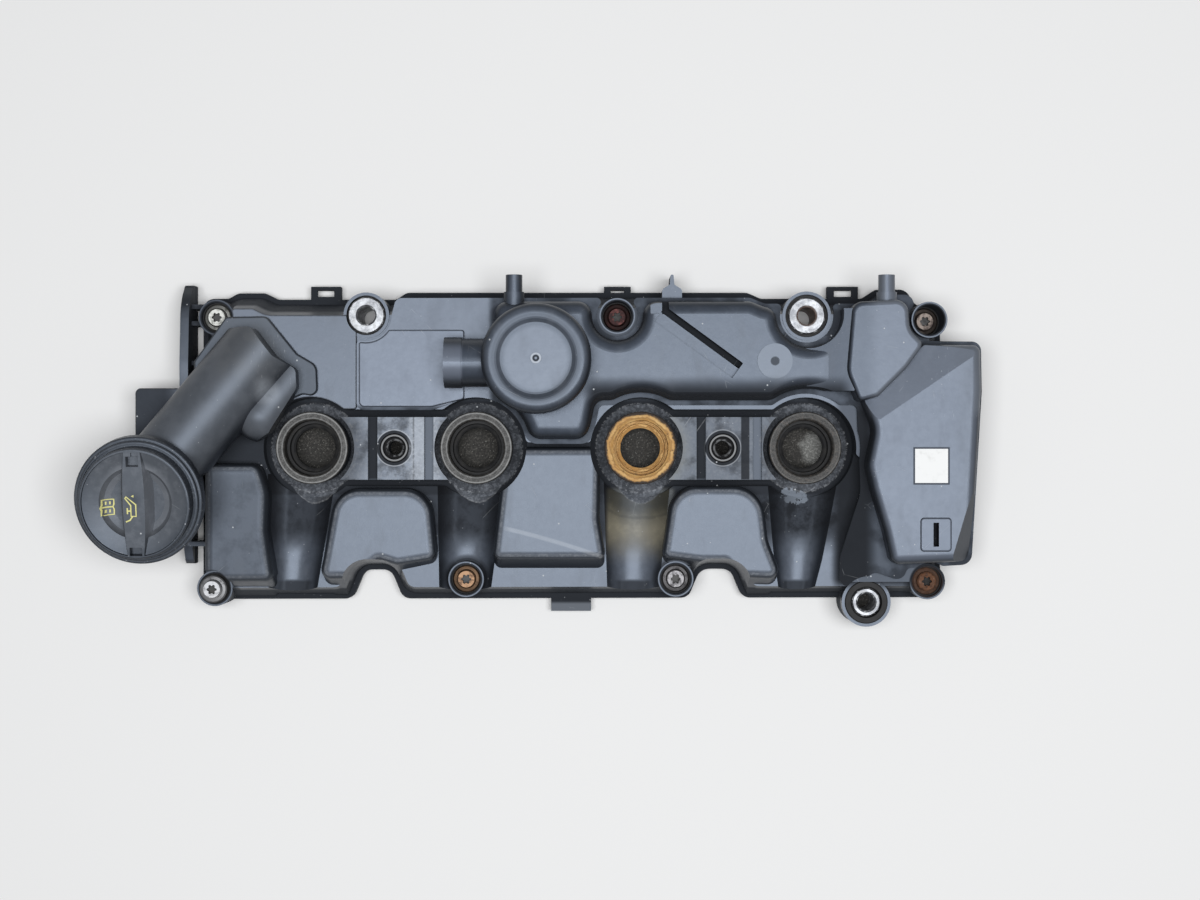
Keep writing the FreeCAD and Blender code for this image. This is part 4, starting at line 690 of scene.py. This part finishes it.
screws = [middle_of(f"cover_screw_{n}") for n in range(1, 8)]
to_screw = base.nearest(screws)
base.dull(to_screw.window(5.0, 8.8, 0.2) * 0.92)
# Painted shade on the rounded edge of each boss.
base.dull(to_screw.window(9.5, 11.0, 0.3) * 0.5)
rust_noise = base.noise(0.003, detail=6, roughness=0.7).between(0.30, 0.5)
base.tint(base.reach(screws[6]).below(7.6, 8.6) * rust_noise, rgb(0.075, 0.036, 0.022), 0.8)
base.dull(to_screw.window(9.6, 12.5, 1.2) * low_down * 0.5)
front_tab = base.patch(-6.0, 18.0, -92.0, -84.5, 1.0)
base.tint(front_tab, rgb(0.085, 0.09, 0.10), 0.6)
third_plateau = base.patch(20.0, 60.0, -66.0, -34.0, 6.0) * z.between(36, 37.5)
base.scuffs(third_plateau, stretch=(0.6, 4, 1))
base.finish()
wear("cover_base", "oil_baffle_1", "oil_baffle_2", finish=base)
print("lower moulding dressed,", len(screws), "bosses")

# %% [markdown]
# ## The breather cover
#
# The upper moulding is welded on the lower one and has kept more of its colour. Its deck is a little
# darker than the plateaus. The flat plate at the left, the deck beside it and the reservoir at the
# right are the palest places, and an upper facet of the reservoir gets painted light, so that it does
# not go dark where it tilts away from the lamp. The slot in the reservoir is black, and the injection
# mark is a pale disc whose dimple in the middle gets painted shade. Separate materials on separate
# faces would end at the mesh's edges. Masks by place and height end softly, as the real film does.

# %% Tone the breather cover's level faces
breather = Plastic("breather_plastic", film=rgb(0.062, 0.074, 0.098))
x, y, z = (breather.mm(name) for name in "XYZ")
level = breather.upward()
plate = breather.patch(-106.5, -49.5, 21.0, 63.0, 0.6) * z.between(37.2, 38.0)
tank = x.between(160.0, 170.0) * z.between(38.0, 44.0)
tank_end = x.between(206.0, 216.0) * tank
breather.tint(plate.most(tank * 0.65) * level * 0.85, rgb(0.135, 0.152, 0.190))
breather.tint(tank_end * level * 0.15, rgb(0.060, 0.062, 0.058))
# Painted light on a facet of the reservoir that tilts away from the lamp.
painted_light_facet = tank * y.between(14.0, 22.0) * breather.tilt().below(0.975, 0.99)
breather.tint(painted_light_facet * 0.55, rgb(0.150, 0.165, 0.190))
slot_floor = breather.patch(197.0, 201.0, -52.0, -38.0, 0.2) * z.below(44.0, 46.0)
breather.dull(slot_floor)
left_of_plate = x.below(-40.0, -34.0) * y.between(20.0, 24.0) * z.window(35.0, 37.4, 0.3)
breather.tint(left_of_plate * level * 0.7, rgb(0.125, 0.140, 0.172))
to_gate_mark = breather.reach(on_row(114.2, 45.7))
breather.tint(to_gate_mark.below(8.9, 9.6) * 0.5, rgb(0.20, 0.22, 0.255), 0.40)
# Painted shade in the dimple at the middle of the injection mark.
breather.dull(to_gate_mark.below(1.9, 2.6) * 0.6)
print("level faces toned")

# %% [markdown]
# The weld rim all round holds dirt. The slope in front of the deck and the long slit are painted black
# as shade, and the valley beside the reservoir is darkened. The label's frame is a groove a hair deep,
# which is not in the solid, so it is drawn as a dark line round the place where the label will be stuck.

# %% Dirty and shade the breather cover and finish it
LABEL_CORNERS = ((187.8, -18.4), (205.1, -0.5))
FRAME_LINE = 0.9
left_deck = x.below(-38.0, -34.0) * y.between(20.0, 24.0)
rim = z.window(33.0, 36.6, 0.4) * (1 - left_deck)
breather.dull(rim * (0.35 + breather.noise(0.02, detail=4).between(0.4, 0.6) * 0.4))
# Painted shade on the slope in front of the deck.
slope_edge = (y + breather.noise(0.02) * 3).below(29.5, 40.5)
front_slope = breather.patch(16.0, 152.0, 10.0, 60.0, 4.0) * slope_edge
breather.dull(front_slope * z.between(40.0, 44.0) * 0.92, rough=0.85)
valley = x.window(146.0, 167.0, 4.0) * y.below(18.0, 26.0) * z.below(43.0, 48.0)
breather.dull(valley * 0.95)
# Painted shade in the long slit.
slit = breather.patch(48.0, 98.0, 36.0, 84.0, 1.0) * z.window(38.0, 45.6, 0.5)
breather.dull(slit)
(left, front), (right, back) = LABEL_CORNERS
inside = breather.patch(left, right, front, back, 0.25)
left, right, front, back = left - FRAME_LINE, right + FRAME_LINE, front - FRAME_LINE, back + FRAME_LINE
frame_line = breather.patch(left, right, front, back, 0.25) - inside
breather.dull(frame_line * z.between(45.0, 47.0) * 0.6)
breather.scuffs(breather.patch(198.0, 208.0, 8.0, 58.0, 3.0) * z.between(40.0, 44.0))
breather.scuffs(breather.patch(128.0, 150.0, 46.0, 66.0, 5.0), stretch=(0.7, 3, 1), amount=0.6)
breather.finish()
wear("breather_cover", finish=breather)
print("breather cover dressed")

# %% [markdown]
# ## The filler neck
#
# The neck is a moulded duct welded on the deck, from another mould and darker. A round tube mirrors
# the soft panel only in a thin stripe, but the real neck shows a broad grey sheen. So its flank gets a
# painted sheen, a warm cloud lies over its upper end, and a painted highlight marks the lobe at its
# right. Its foot is black where it meets the deck.

# %% Dress the neck
neck = Plastic("neck_plastic", film=rgb(0.044, 0.050, 0.060), gloss=0.38)
neck_height = neck.mm("Z")
neck.dull(neck_height.below(30.0, 42.0) * 0.55)
neck_cloud = neck.noise(0.010, detail=4).between(0.35, 0.65)
# Painted sheen: the flank is lifted to the grey that a broad reflection would give.
flank = neck.tilt().between(0.30, 0.80) * neck_height.between(40.0, 46.0)
neck.tint(flank * (0.55 + neck_cloud * 0.25), rgb(0.098, 0.106, 0.120), 0.46)
upper_end = neck.patch(-176.0, -148.0, 36.0, 68.0, 9.0)
neck.tint(upper_end * (0.25 + neck_cloud * 0.25), rgb(0.092, 0.092, 0.090), 0.44)
# Painted highlight on the lobe.
lobe_glint = neck.reach(on_row(-152.3, 29.4)).below(2.0, 9.0)
neck.tint(lobe_glint * (0.3 + neck_cloud * 0.3), rgb(0.30, 0.32, 0.35), 0.46)
neck.scuffs(neck.patch(-160.0, -135.0, 30.0, 60.0, 5.0), amount=0.5)
neck.finish()
wear("filler_neck", finish=neck)
print("neck dressed")

# %% [markdown]
# ## The regulator's lid
#
# The round lid of the pressure regulator is snapped on. Its dish is as pale as the reservoir and its
# shoulder is a little darker, with a small vent in the middle, drawn as a ring of painted highlight
# round painted shade. All of these are rings, so one distance from the lid's middle gives them all.

# %% Dress the regulator's lid
lid = Plastic("regulator_plastic", film=rgb(0.076, 0.089, 0.114))
lid_reach = lid.reach(middle_of("regulator_lid"))
lid.tint(lid_reach.below(15.0, 17.5) * lid.upward() * 0.6, rgb(0.140, 0.156, 0.188))
# A ring of painted highlight round the vent, and painted shade inside it.
lid.tint(lid_reach.window(1.8, 2.8, 0.2) * 0.5, DUST)
lid.dull(lid_reach.window(0.7, 1.7, 0.2) * 0.8)
lid.dull(lid_reach.window(18.0, 23.5, 1.5) * 0.16)
lid.finish()
wear("regulator_lid", "regulator_plate", finish=lid)
print("lid dressed")

# %% [markdown]
# ## The filler cap
#
# The cap is unscrewed by hand at every top-up, so its rim and its bar stay clean and only its field
# keeps dust. The real field is a smooth shallow dish. The solid's hollow is steeper and would go dark
# at its sides, so the steep part is tinted lighter.

# %% Dress the cap
cap_joint = joints["cap_turn"]
cap_middle = Vector(cap_joint["pos_m"])
cap_axis = Vector(cap_joint["axis"]).normalized()
cap = Plastic("cap_plastic", film=rgb(0.058, 0.065, 0.077), gloss=0.42)
cap_reach = cap.reach(cap_middle)
cap_dust = cap.noise(0.006, detail=6, roughness=0.7).between(0.45, 0.7)
field = cap_reach.window(3.0, 26.0, 3.0)
cap.tint((0.25 + cap_dust * 0.3) * field * 0.8, PALE_DUST, 0.5)
hollow_side = cap_reach.below(17.0, 21.0) * cap.tilt().below(0.90, 0.97)
cap.tint(hollow_side * (0.6 + cap_dust * 0.2), rgb(0.185, 0.195, 0.215), 0.5)
cap.scuffs(cap_reach.window(27.0, 34.0, 1.0), size=0.003, stretch=(2, 2, 1), amount=0.5)
cap.finish()
wear("filler_cap", finish=cap)
print("cap dressed")

# %% [markdown]
# ## Rubber
#
# Most seals are hidden. Rubber is darker and flatter than the plastic, with no grain but a dusty
# bloom. The seals round the two clamp bolts show, and there a thin worn lip catches the light at the
# edge and again round the bore. At 1 mm across a lip is read as colour only, so it is not modelled.

# %% Mix the rubber
seal = Finish("seal_rubber", Specular_IOR_Level=0.35)
bloom = seal.noise(0.004, detail=4).between(0.4, 0.75)
seal.put("Base Color", seal.blend(bloom * 0.5, rgb(0.014, 0.014, 0.015), rgb(0.050, 0.047, 0.043)))
seal.put("Roughness", 0.62 + bloom * 0.2)
seal.relief(seal.noise(0.0008), 0.00005, 0.4)
hidden = [name for name in nodes if "grommet" in name or "well_seal" in name]
hidden += ["cap_seal", "regulator_diaphragm", "perimeter_gasket"]
wear(*hidden, finish=seal)

clamp_rubber = Finish("clamp_rubber", Specular_IOR_Level=0.45)
bolt_reach = clamp_rubber.nearest(clamps)
worn = clamp_rubber.noise(0.0025, detail=5).between(0.40, 0.60)
outer_lip = bolt_reach.window(6.2, 7.1, 0.15) * 0.8
lips = outer_lip.most(bolt_reach.window(3.9, 4.9, 0.2) * worn)
lip_colour = clamp_rubber.blend(lips, rgb(0.010, 0.010, 0.011), rgb(0.22, 0.225, 0.23))
clamp_rubber.put("Base Color", lip_colour)
clamp_rubber.put("Roughness", 0.6 - lips * 0.15)
wear("clamp_seal_1", "clamp_seal_2", finish=clamp_rubber)
print("rubber on", len(hidden) + 2, "solids")

# %% [markdown]
# ## Steel that has aged in seven ways
#
# The screws are plated steel and were changed at different times, so no two look alike. Seven
# materials could be mixed by hand. They share one recipe instead: a metal colour, a tarnish colour
# that noise spreads over it, and a rust that eats in from small pits. Aged plating scatters light, so
# it is rough and far from mirror bright. A screw also gets painted shade in its socket and at its foot.


# %% The recipe for metal
def metal(name, clean, tarnish, amount, rust=0.0, rough=0.5, node=None):
    """Plated steel with tarnish and rust, from 0 to 1 each; a screw's node gets painted shade in its socket and at
    its foot.
    """
    finish = Finish(name)
    patches = finish.noise(0.003, detail=6, roughness=0.65)
    dull = patches.between(0.75 - amount * 0.6, 0.95 - amount * 0.5)
    pit_noise = finish.noise(0.0012, detail=6, roughness=0.7)
    pits = pit_noise.between(0.8 - rust * 0.55, 0.9 - rust * 0.45)
    rust_noise = finish.noise(0.0016, detail=5)
    rust_colour = finish.blend(rust_noise, rgb(0.040, 0.016, 0.009), rgb(0.20, 0.085, 0.038))
    colour = finish.blend(pits, finish.blend(dull, clean, tarnish), rust_colour)
    shine = (1 - pits) * (1 - dull * 0.35)
    if node:
        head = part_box(node)[1][2] * MM_IN_METRE
        reach = finish.reach(middle_of(node))
        # Painted shade in the socket and at the foot of the screw.
        socket = reach.below(2.9, 3.3) * finish.mm("Z").below(head - 2.2, head - 0.5)
        foot = reach.between(5.1, 5.6) * 0.5
        colour = finish.blend(socket.most(foot), colour, rgb(0.012, 0.011, 0.010))
        shine = shine * (1 - socket)
    finish.put("Base Color", colour)
    finish.put("Metallic", shine)
    finish.put("Roughness", rough + dull * 0.15 + pits * 0.25)
    finish.relief(patches * 0.4 + pits * 0.6, 0.00012, 0.6)
    return finish


print("metal recipe ready")

# %% [markdown]
# The first three rows of the table are the screws at the back, from left to right, and the other four
# are those at the front. The spring inside the regulator stays clean.

# %% Dress the screws and the spring
SCREWS = [
    # name, clean colour, tarnished colour, tarnish, rust, roughness
    ("pale", rgb(0.37, 0.37, 0.35), rgb(0.14, 0.145, 0.125), 0.5, 0.1, 0.5),
    ("dark_red", rgb(0.070, 0.030, 0.028), rgb(0.030, 0.012, 0.012), 0.7, 0.3, 0.5),
    ("dark", rgb(0.15, 0.125, 0.11), rgb(0.06, 0.045, 0.04), 0.6, 0.35, 0.5),
    ("silver", rgb(0.40, 0.40, 0.41), rgb(0.16, 0.16, 0.165), 0.4, 0.0, 0.55),
    ("copper", rgb(0.22, 0.135, 0.082), rgb(0.13, 0.075, 0.048), 0.5, 0.2, 0.5),
    ("steel", rgb(0.20, 0.195, 0.20), rgb(0.09, 0.085, 0.09), 0.5, 0.05, 0.5),
    ("rust", rgb(0.20, 0.115, 0.08), rgb(0.06, 0.03, 0.02), 0.6, 0.8, 0.55),
]
for number, (name, *mix) in enumerate(SCREWS, start=1):
    node = f"cover_screw_{number}"
    wear(node, finish=metal(f"screw_{name}", *mix, node))
spring_steel = metal("spring_steel", rgb(0.35, 0.35, 0.36), rgb(0.2, 0.2, 0.2), 0.2)
wear("regulator_spring", finish=spring_steel)
print(len(SCREWS), "screws and a spring")

# %% [markdown]
# The three sleeves are zinc-plated steel tubes, hammered pale by their bolts. White oxide sits on them
# in scuffs, and the bore of the second one has gone brown. The screws' recipe has no oxide, so the
# sleeves get their own, in which the oxide is not metallic: then it looks like powder on metal.

# %% Mix the sleeves' plated steel
zinc = Finish("sleeve_steel")
scuffed = zinc.noise(0.0022, detail=7, roughness=0.7)
oxide = scuffed.between(0.52, 0.62)
shade = zinc.noise(0.005, detail=4).between(0.35, 0.65)
second_bore = zinc.reach(mount_point("sleeve_bore_2")).below(4.9, 6.0)
zinc_colour = zinc.blend(shade, rgb(0.20, 0.205, 0.22), rgb(0.42, 0.43, 0.45))
zinc_colour = zinc.blend(oxide * 0.8, zinc_colour, rgb(0.72, 0.73, 0.74))
zinc_colour = zinc.blend(second_bore * 0.85, zinc_colour, rgb(0.13, 0.075, 0.05))
zinc.put("Base Color", zinc_colour)
zinc.put("Metallic", 1 - oxide.most(second_bore) * 0.9)
zinc.put("Roughness", 0.5 + oxide * 0.2)
zinc.relief(scuffed, 0.0003, 0.7)
wear("mount_sleeve_1", "mount_sleeve_2", "mount_sleeve_3", finish=zinc)
print("three sleeves")

# %% [markdown]
# ## Collars in the wells
#
# A pressed collar lines each well. The two at the left are coated with dark oil, beaded like sweat,
# under a pale dusty rim whose two edges get painted highlights. The one at the right is darker and
# browner. The three share one finish, and a mask along the row changes it for the last well.

# %% Oil the collars
collar = Finish("oily_collar", Specular_IOR_Level=0.5)
reach = collar.nearest(wells)
beads = collar.noise(0.0016, detail=6, roughness=0.75)
# Painted highlights: thin pale lines on the collar's two edges.
edges = reach.window(15.6, 16.2, 0.15) + reach.window(18.2, 18.9, 0.2)
dusty = reach.window(15.4, 18.9, 0.35) * (0.05 + beads.between(0.42, 0.62) * 0.16)
fourth = collar.mm("X").between(60.0, 100.0)
rim = (dusty + edges * (0.32 + beads * 0.55)) * (1 - fourth * 0.75)
brown = fourth * beads.between(0.5, 0.7) * 0.6
collar_colour = collar.blend(beads.between(0.4, 0.7), rgb(0.014, 0.013, 0.012), rgb(0.050, 0.045, 0.040))
collar_colour = collar.blend(brown, collar_colour, rgb(0.085, 0.055, 0.038))
collar_colour = collar.blend(rim, collar_colour, rgb(0.33, 0.33, 0.325))
collar.put("Base Color", collar_colour)
collar.put("Roughness", 0.45 + rim * 0.2)
collar.relief(beads, 0.0005, 0.8)
wear("well_collar_1", "well_collar_2", "well_collar_4", finish=collar)
print("three collars oiled")

# %% [markdown]
# The third well has a crust of burnt oil that covers the collar and the seal under it: orange where
# it is thin, brown in the swirls where it is thick, and ragged at both edges. It could be sculpted,
# but it looks right once colour and relief follow the same noise. The swirls are rings round the
# well that the noise pushes out of shape.

# %% Burn the oil in the third well
crust = Finish("burnt_oil_crust", Specular_IOR_Level=0.4)
reach = crust.reach(wells[2])
thick = crust.noise(0.006, detail=7, roughness=0.65)
swirl = (reach * 3.1 + thick * 16).wave()
char = crust.noise(0.002, detail=5).between(0.60, 0.72)
outer_edge = (reach + thick * 5 - 2.5).between(17.4, 18.6)
inner_edge = (reach + crust.noise(0.004, detail=4) * 3).below(11.2, 12.6)
burnt = crust.blend(thick.between(0.35, 0.65), rgb(0.50, 0.27, 0.085), rgb(0.66, 0.42, 0.17))
burnt = crust.blend(swirl.between(0.55, 1.0) * 0.6, burnt, rgb(0.25, 0.12, 0.035))
burnt = crust.blend(char * 0.8, burnt, rgb(0.10, 0.05, 0.025))
burnt = crust.blend(outer_edge.most(inner_edge), burnt, rgb(0.035, 0.024, 0.018))
crust.put("Base Color", burnt)
crust.put("Roughness", 0.55 + thick * 0.3)
crust.relief(thick + swirl * 0.25, 0.0006, 0.7)
wear("well_collar_3", "well_seal_3", finish=crust)
print("one crust burnt")

# %% [markdown]
# ## Pieces that give way
#
# Two pieces inside the regulator change shape when its valve moves. The spring stands on the housing
# and gets shorter, and the diaphragm's rolled fold sinks towards its clamped rim. A solid that rides
# on one body can't do that, so each is replaced by its own mesh, and the share of its height that it
# would keep, squashed towards its fixed end by as much as the valve travels, is worked out.

# %% Give the spring and the diaphragm meshes of their own
VALVE_TRAVEL = joints["valve_stroke"]["range_m"][1]
SPRING_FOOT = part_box("regulator_spring")[0][2]
DIAPHRAGM_CLAMP = 0.0645
SAME_POINT = 1e-6


def finished(name, bm, finish, body):
    """Turns a bmesh into a piece that rides on a body."""
    mesh = bpy.data.meshes.new(name)
    bm.to_mesh(mesh)
    bm.free()
    piece = bpy.data.objects.new(name, mesh)
    bpy.context.scene.collection.objects.link(piece)
    mesh.materials.append(finish.material)
    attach(piece, body)
    return piece


def give_way(name, node, finish, fixed_end):
    """Replaces a solid by a piece of its own and returns the share of its height it would keep if squashed towards
    a height as the valve goes down.
    """
    bm = bmesh.new()
    bm.from_mesh(nodes[node].data)
    bmesh.ops.remove_doubles(bm, verts=bm.verts, dist=SAME_POINT)
    piece = finished(name, bm, finish, "cover")
    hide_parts(node)
    low, high = (Vector(corner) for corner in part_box(node))
    keep = 1 - VALVE_TRAVEL / (high.z - fixed_end)
    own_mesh(piece)
    return keep


spring_keeps = give_way("spring_coil", "regulator_spring", spring_steel, SPRING_FOOT)
fold_keeps = give_way("diaphragm_fold", "regulator_diaphragm", seal, DIAPHRAGM_CLAMP)
print("spring keeps", round(spring_keeps, 3), "fold keeps", round(fold_keeps, 3))

# %% [markdown]
# ## The label
#
# The label on the reservoir is white paper. The real one carries print, which is left out: it is
# blank, a little grimy and lifted at no edge. It could be a white patch in the plastic's material, but
# a thin piece of mesh has a real edge. Every point of a flat grid is dropped onto the reservoir along
# a ray, so the label follows the surface it is stuck on.

# %% Stick the blank label on the reservoir
LABEL_TOP = 0.00012
LABEL_THICKNESS = LABEL_TOP * 0.8
LABEL_SEGMENTS = 12
ABOVE_ALL = 0.2
DOWN = Vector((0, 0, -1))


def surface_of(node):
    """A solid's surface, ready to be asked where a ray meets it."""
    bm = bmesh.new()
    bm.from_mesh(nodes[node].data)
    tree = BVHTree.FromBMesh(bm)
    bm.free()
    return tree


reservoir = surface_of("breather_cover")
low, high = (on_row(*corner) for corner in LABEL_CORNERS)
label_bm = bmesh.new()
bmesh.ops.create_grid(label_bm, x_segments=LABEL_SEGMENTS, y_segments=LABEL_SEGMENTS, size=0.5)
bmesh.ops.scale(label_bm, vec=(high.x - low.x, high.y - low.y, 1), verts=label_bm.verts)
bmesh.ops.translate(label_bm, vec=(low + high) / 2, verts=label_bm.verts)
for vert in label_bm.verts:
    place, _, _, _ = reservoir.ray_cast(Vector((vert.co.x, vert.co.y, ABOVE_ALL)), DOWN)
    vert.co.z = place.z + LABEL_TOP
bmesh.ops.solidify(label_bm, geom=label_bm.faces[:], thickness=-LABEL_THICKNESS)
bmesh.ops.recalc_face_normals(label_bm, faces=label_bm.faces)

paper = Finish("label_paper", Specular_IOR_Level=0.45)
grime = paper.noise(0.004, detail=5).between(0.5, 0.8)
paper.put("Base Color", paper.blend(grime * 0.3, rgb(0.84, 0.84, 0.83), rgb(0.50, 0.49, 0.47)))
paper.put("Roughness", 0.6 + grime * 0.2)
finished("blank_label", label_bm, paper, "cover")
print("label at", tuple(round(c, 4) for c in low))

# %% [markdown]
# ## The marks on the cap
#
# The cap carries two yellow pictograms, an oil can on its bar and an open book in its dish, printed in
# strokes of one width. Flat decals would cut through the bar's curve. So the strokes are drawn as
# round curves, made mesh, pressed flat and dropped onto the cap along its own tilted axis.

# %% A brush for the cap
STROKE = 0.42  # half its width in millimetres
MARK_LIFT = 0.06
MARK_HALF_THICKNESS = MARK_LIFT * 0.8
LONGEST_EDGE = 1.2
ABOVE_CAP = 0.05
cap_surface = surface_of("filler_cap")
paint = Finish("yellow_paint", Specular_IOR_Level=0.4)
faded = paint.noise(0.0012, detail=5, roughness=0.7).between(0.5, 0.75)
paint.put("Base Color", paint.blend(faded * 0.7, rgb(0.72, 0.68, 0.27), rgb(0.26, 0.25, 0.13)))
paint.put("Roughness", 0.55 + faded * 0.15)


def stroke_mesh(name, middle, strokes):
    """Round strokes as a mesh that lies flat, in millimetres; each has its points as (right, up)."""
    curve = bpy.data.curves.new(name, "CURVE")
    curve.dimensions = "3D"
    curve.bevel_depth = STROKE
    curve.bevel_resolution = 2
    curve.use_fill_caps = True
    for closed, points in strokes:
        spline = curve.splines.new("POLY")
        spline.points.add(len(points) - 1)
        for point, (right, up) in zip(spline.points, points):
            point.co = (middle[0] - up, middle[1] + right, 0, 1)
        spline.use_cyclic_u = closed
    carrier = bpy.data.objects.new(name, curve)
    mesh = bpy.data.meshes.new_from_object(carrier)
    bpy.data.objects.remove(carrier)
    return mesh


def mark(name, middle, strokes):
    """Presses strokes flat onto the cap."""
    mesh = stroke_mesh(name, middle, strokes)
    bm = bmesh.new()
    bm.from_mesh(mesh)
    bpy.data.meshes.remove(mesh)
    long_edges = [edge for edge in bm.edges if edge.calc_length() > LONGEST_EDGE]
    bmesh.ops.subdivide_edges(bm, edges=long_edges, cuts=3)
    for vert in bm.verts:
        flat = Vector((vert.co.x, vert.co.y, 0)) / MM_IN_METRE
        place, _, _, _ = cap_surface.ray_cast(cap_middle + flat + cap_axis * ABOVE_CAP, -cap_axis)
        lift = (MARK_LIFT + vert.co.z / STROKE * MARK_HALF_THICKNESS) / MM_IN_METRE
        vert.co = place + cap_axis * lift
    bmesh.ops.recalc_face_normals(bm, faces=bm.faces)
    return finished(name, bm, paint, "cap")


print("brush", STROKE * 2, "mm wide")

# %% [markdown]
# The two drawings are lists of strokes, and True marks a closed one. The points are given as one reads
# the mark, right and up in millimetres from its middle. Both tops point to the left of the picture.

# %% Draw the oil can and the book
oil_can = mark("oil_can_mark", (-1.9, -2.6), [
    (True, [(-3.7, -2.9), (2.5, -2.9), (6.6, 1.9), (5.8, 2.5), (2.1, -0.3), (-3.7, -0.3)]),
    (False, [(-0.9, -0.3), (-0.9, 1.2)]),
    (False, [(-2.5, 1.5), (0.7, 1.5)]),
    (False, [(-3.7, -1.1), (-5.8, 0.4), (-6.7, 2.5)]),
    (True, [(6.9, -1.0), (7.4, -1.8), (6.6, -1.8)]),
])
book = mark("book_mark", (-15.2, -3.0), [
    (True, [(0, -2.2), (-1.4, -2.8), (-4.0, -2.8), (-4.0, 2.5), (-1.4, 2.5), (0, 3.0),
            (1.4, 2.5), (4.0, 2.5), (4.0, -2.8), (1.4, -2.8)]),
    (False, [(0, -2.2), (0, 3.0)]),
    (False, [(-2.9, 1.0), (-1.3, 1.0)]),
    (False, [(-2.9, -0.9), (-1.3, -0.9)]),
    (False, [(1.3, 1.0), (2.9, 1.0)]),
    (False, [(1.3, -0.9), (2.9, -0.9)]),
])
print("marks", len(oil_can.data.polygons), "and", len(book.data.polygons), "faces")
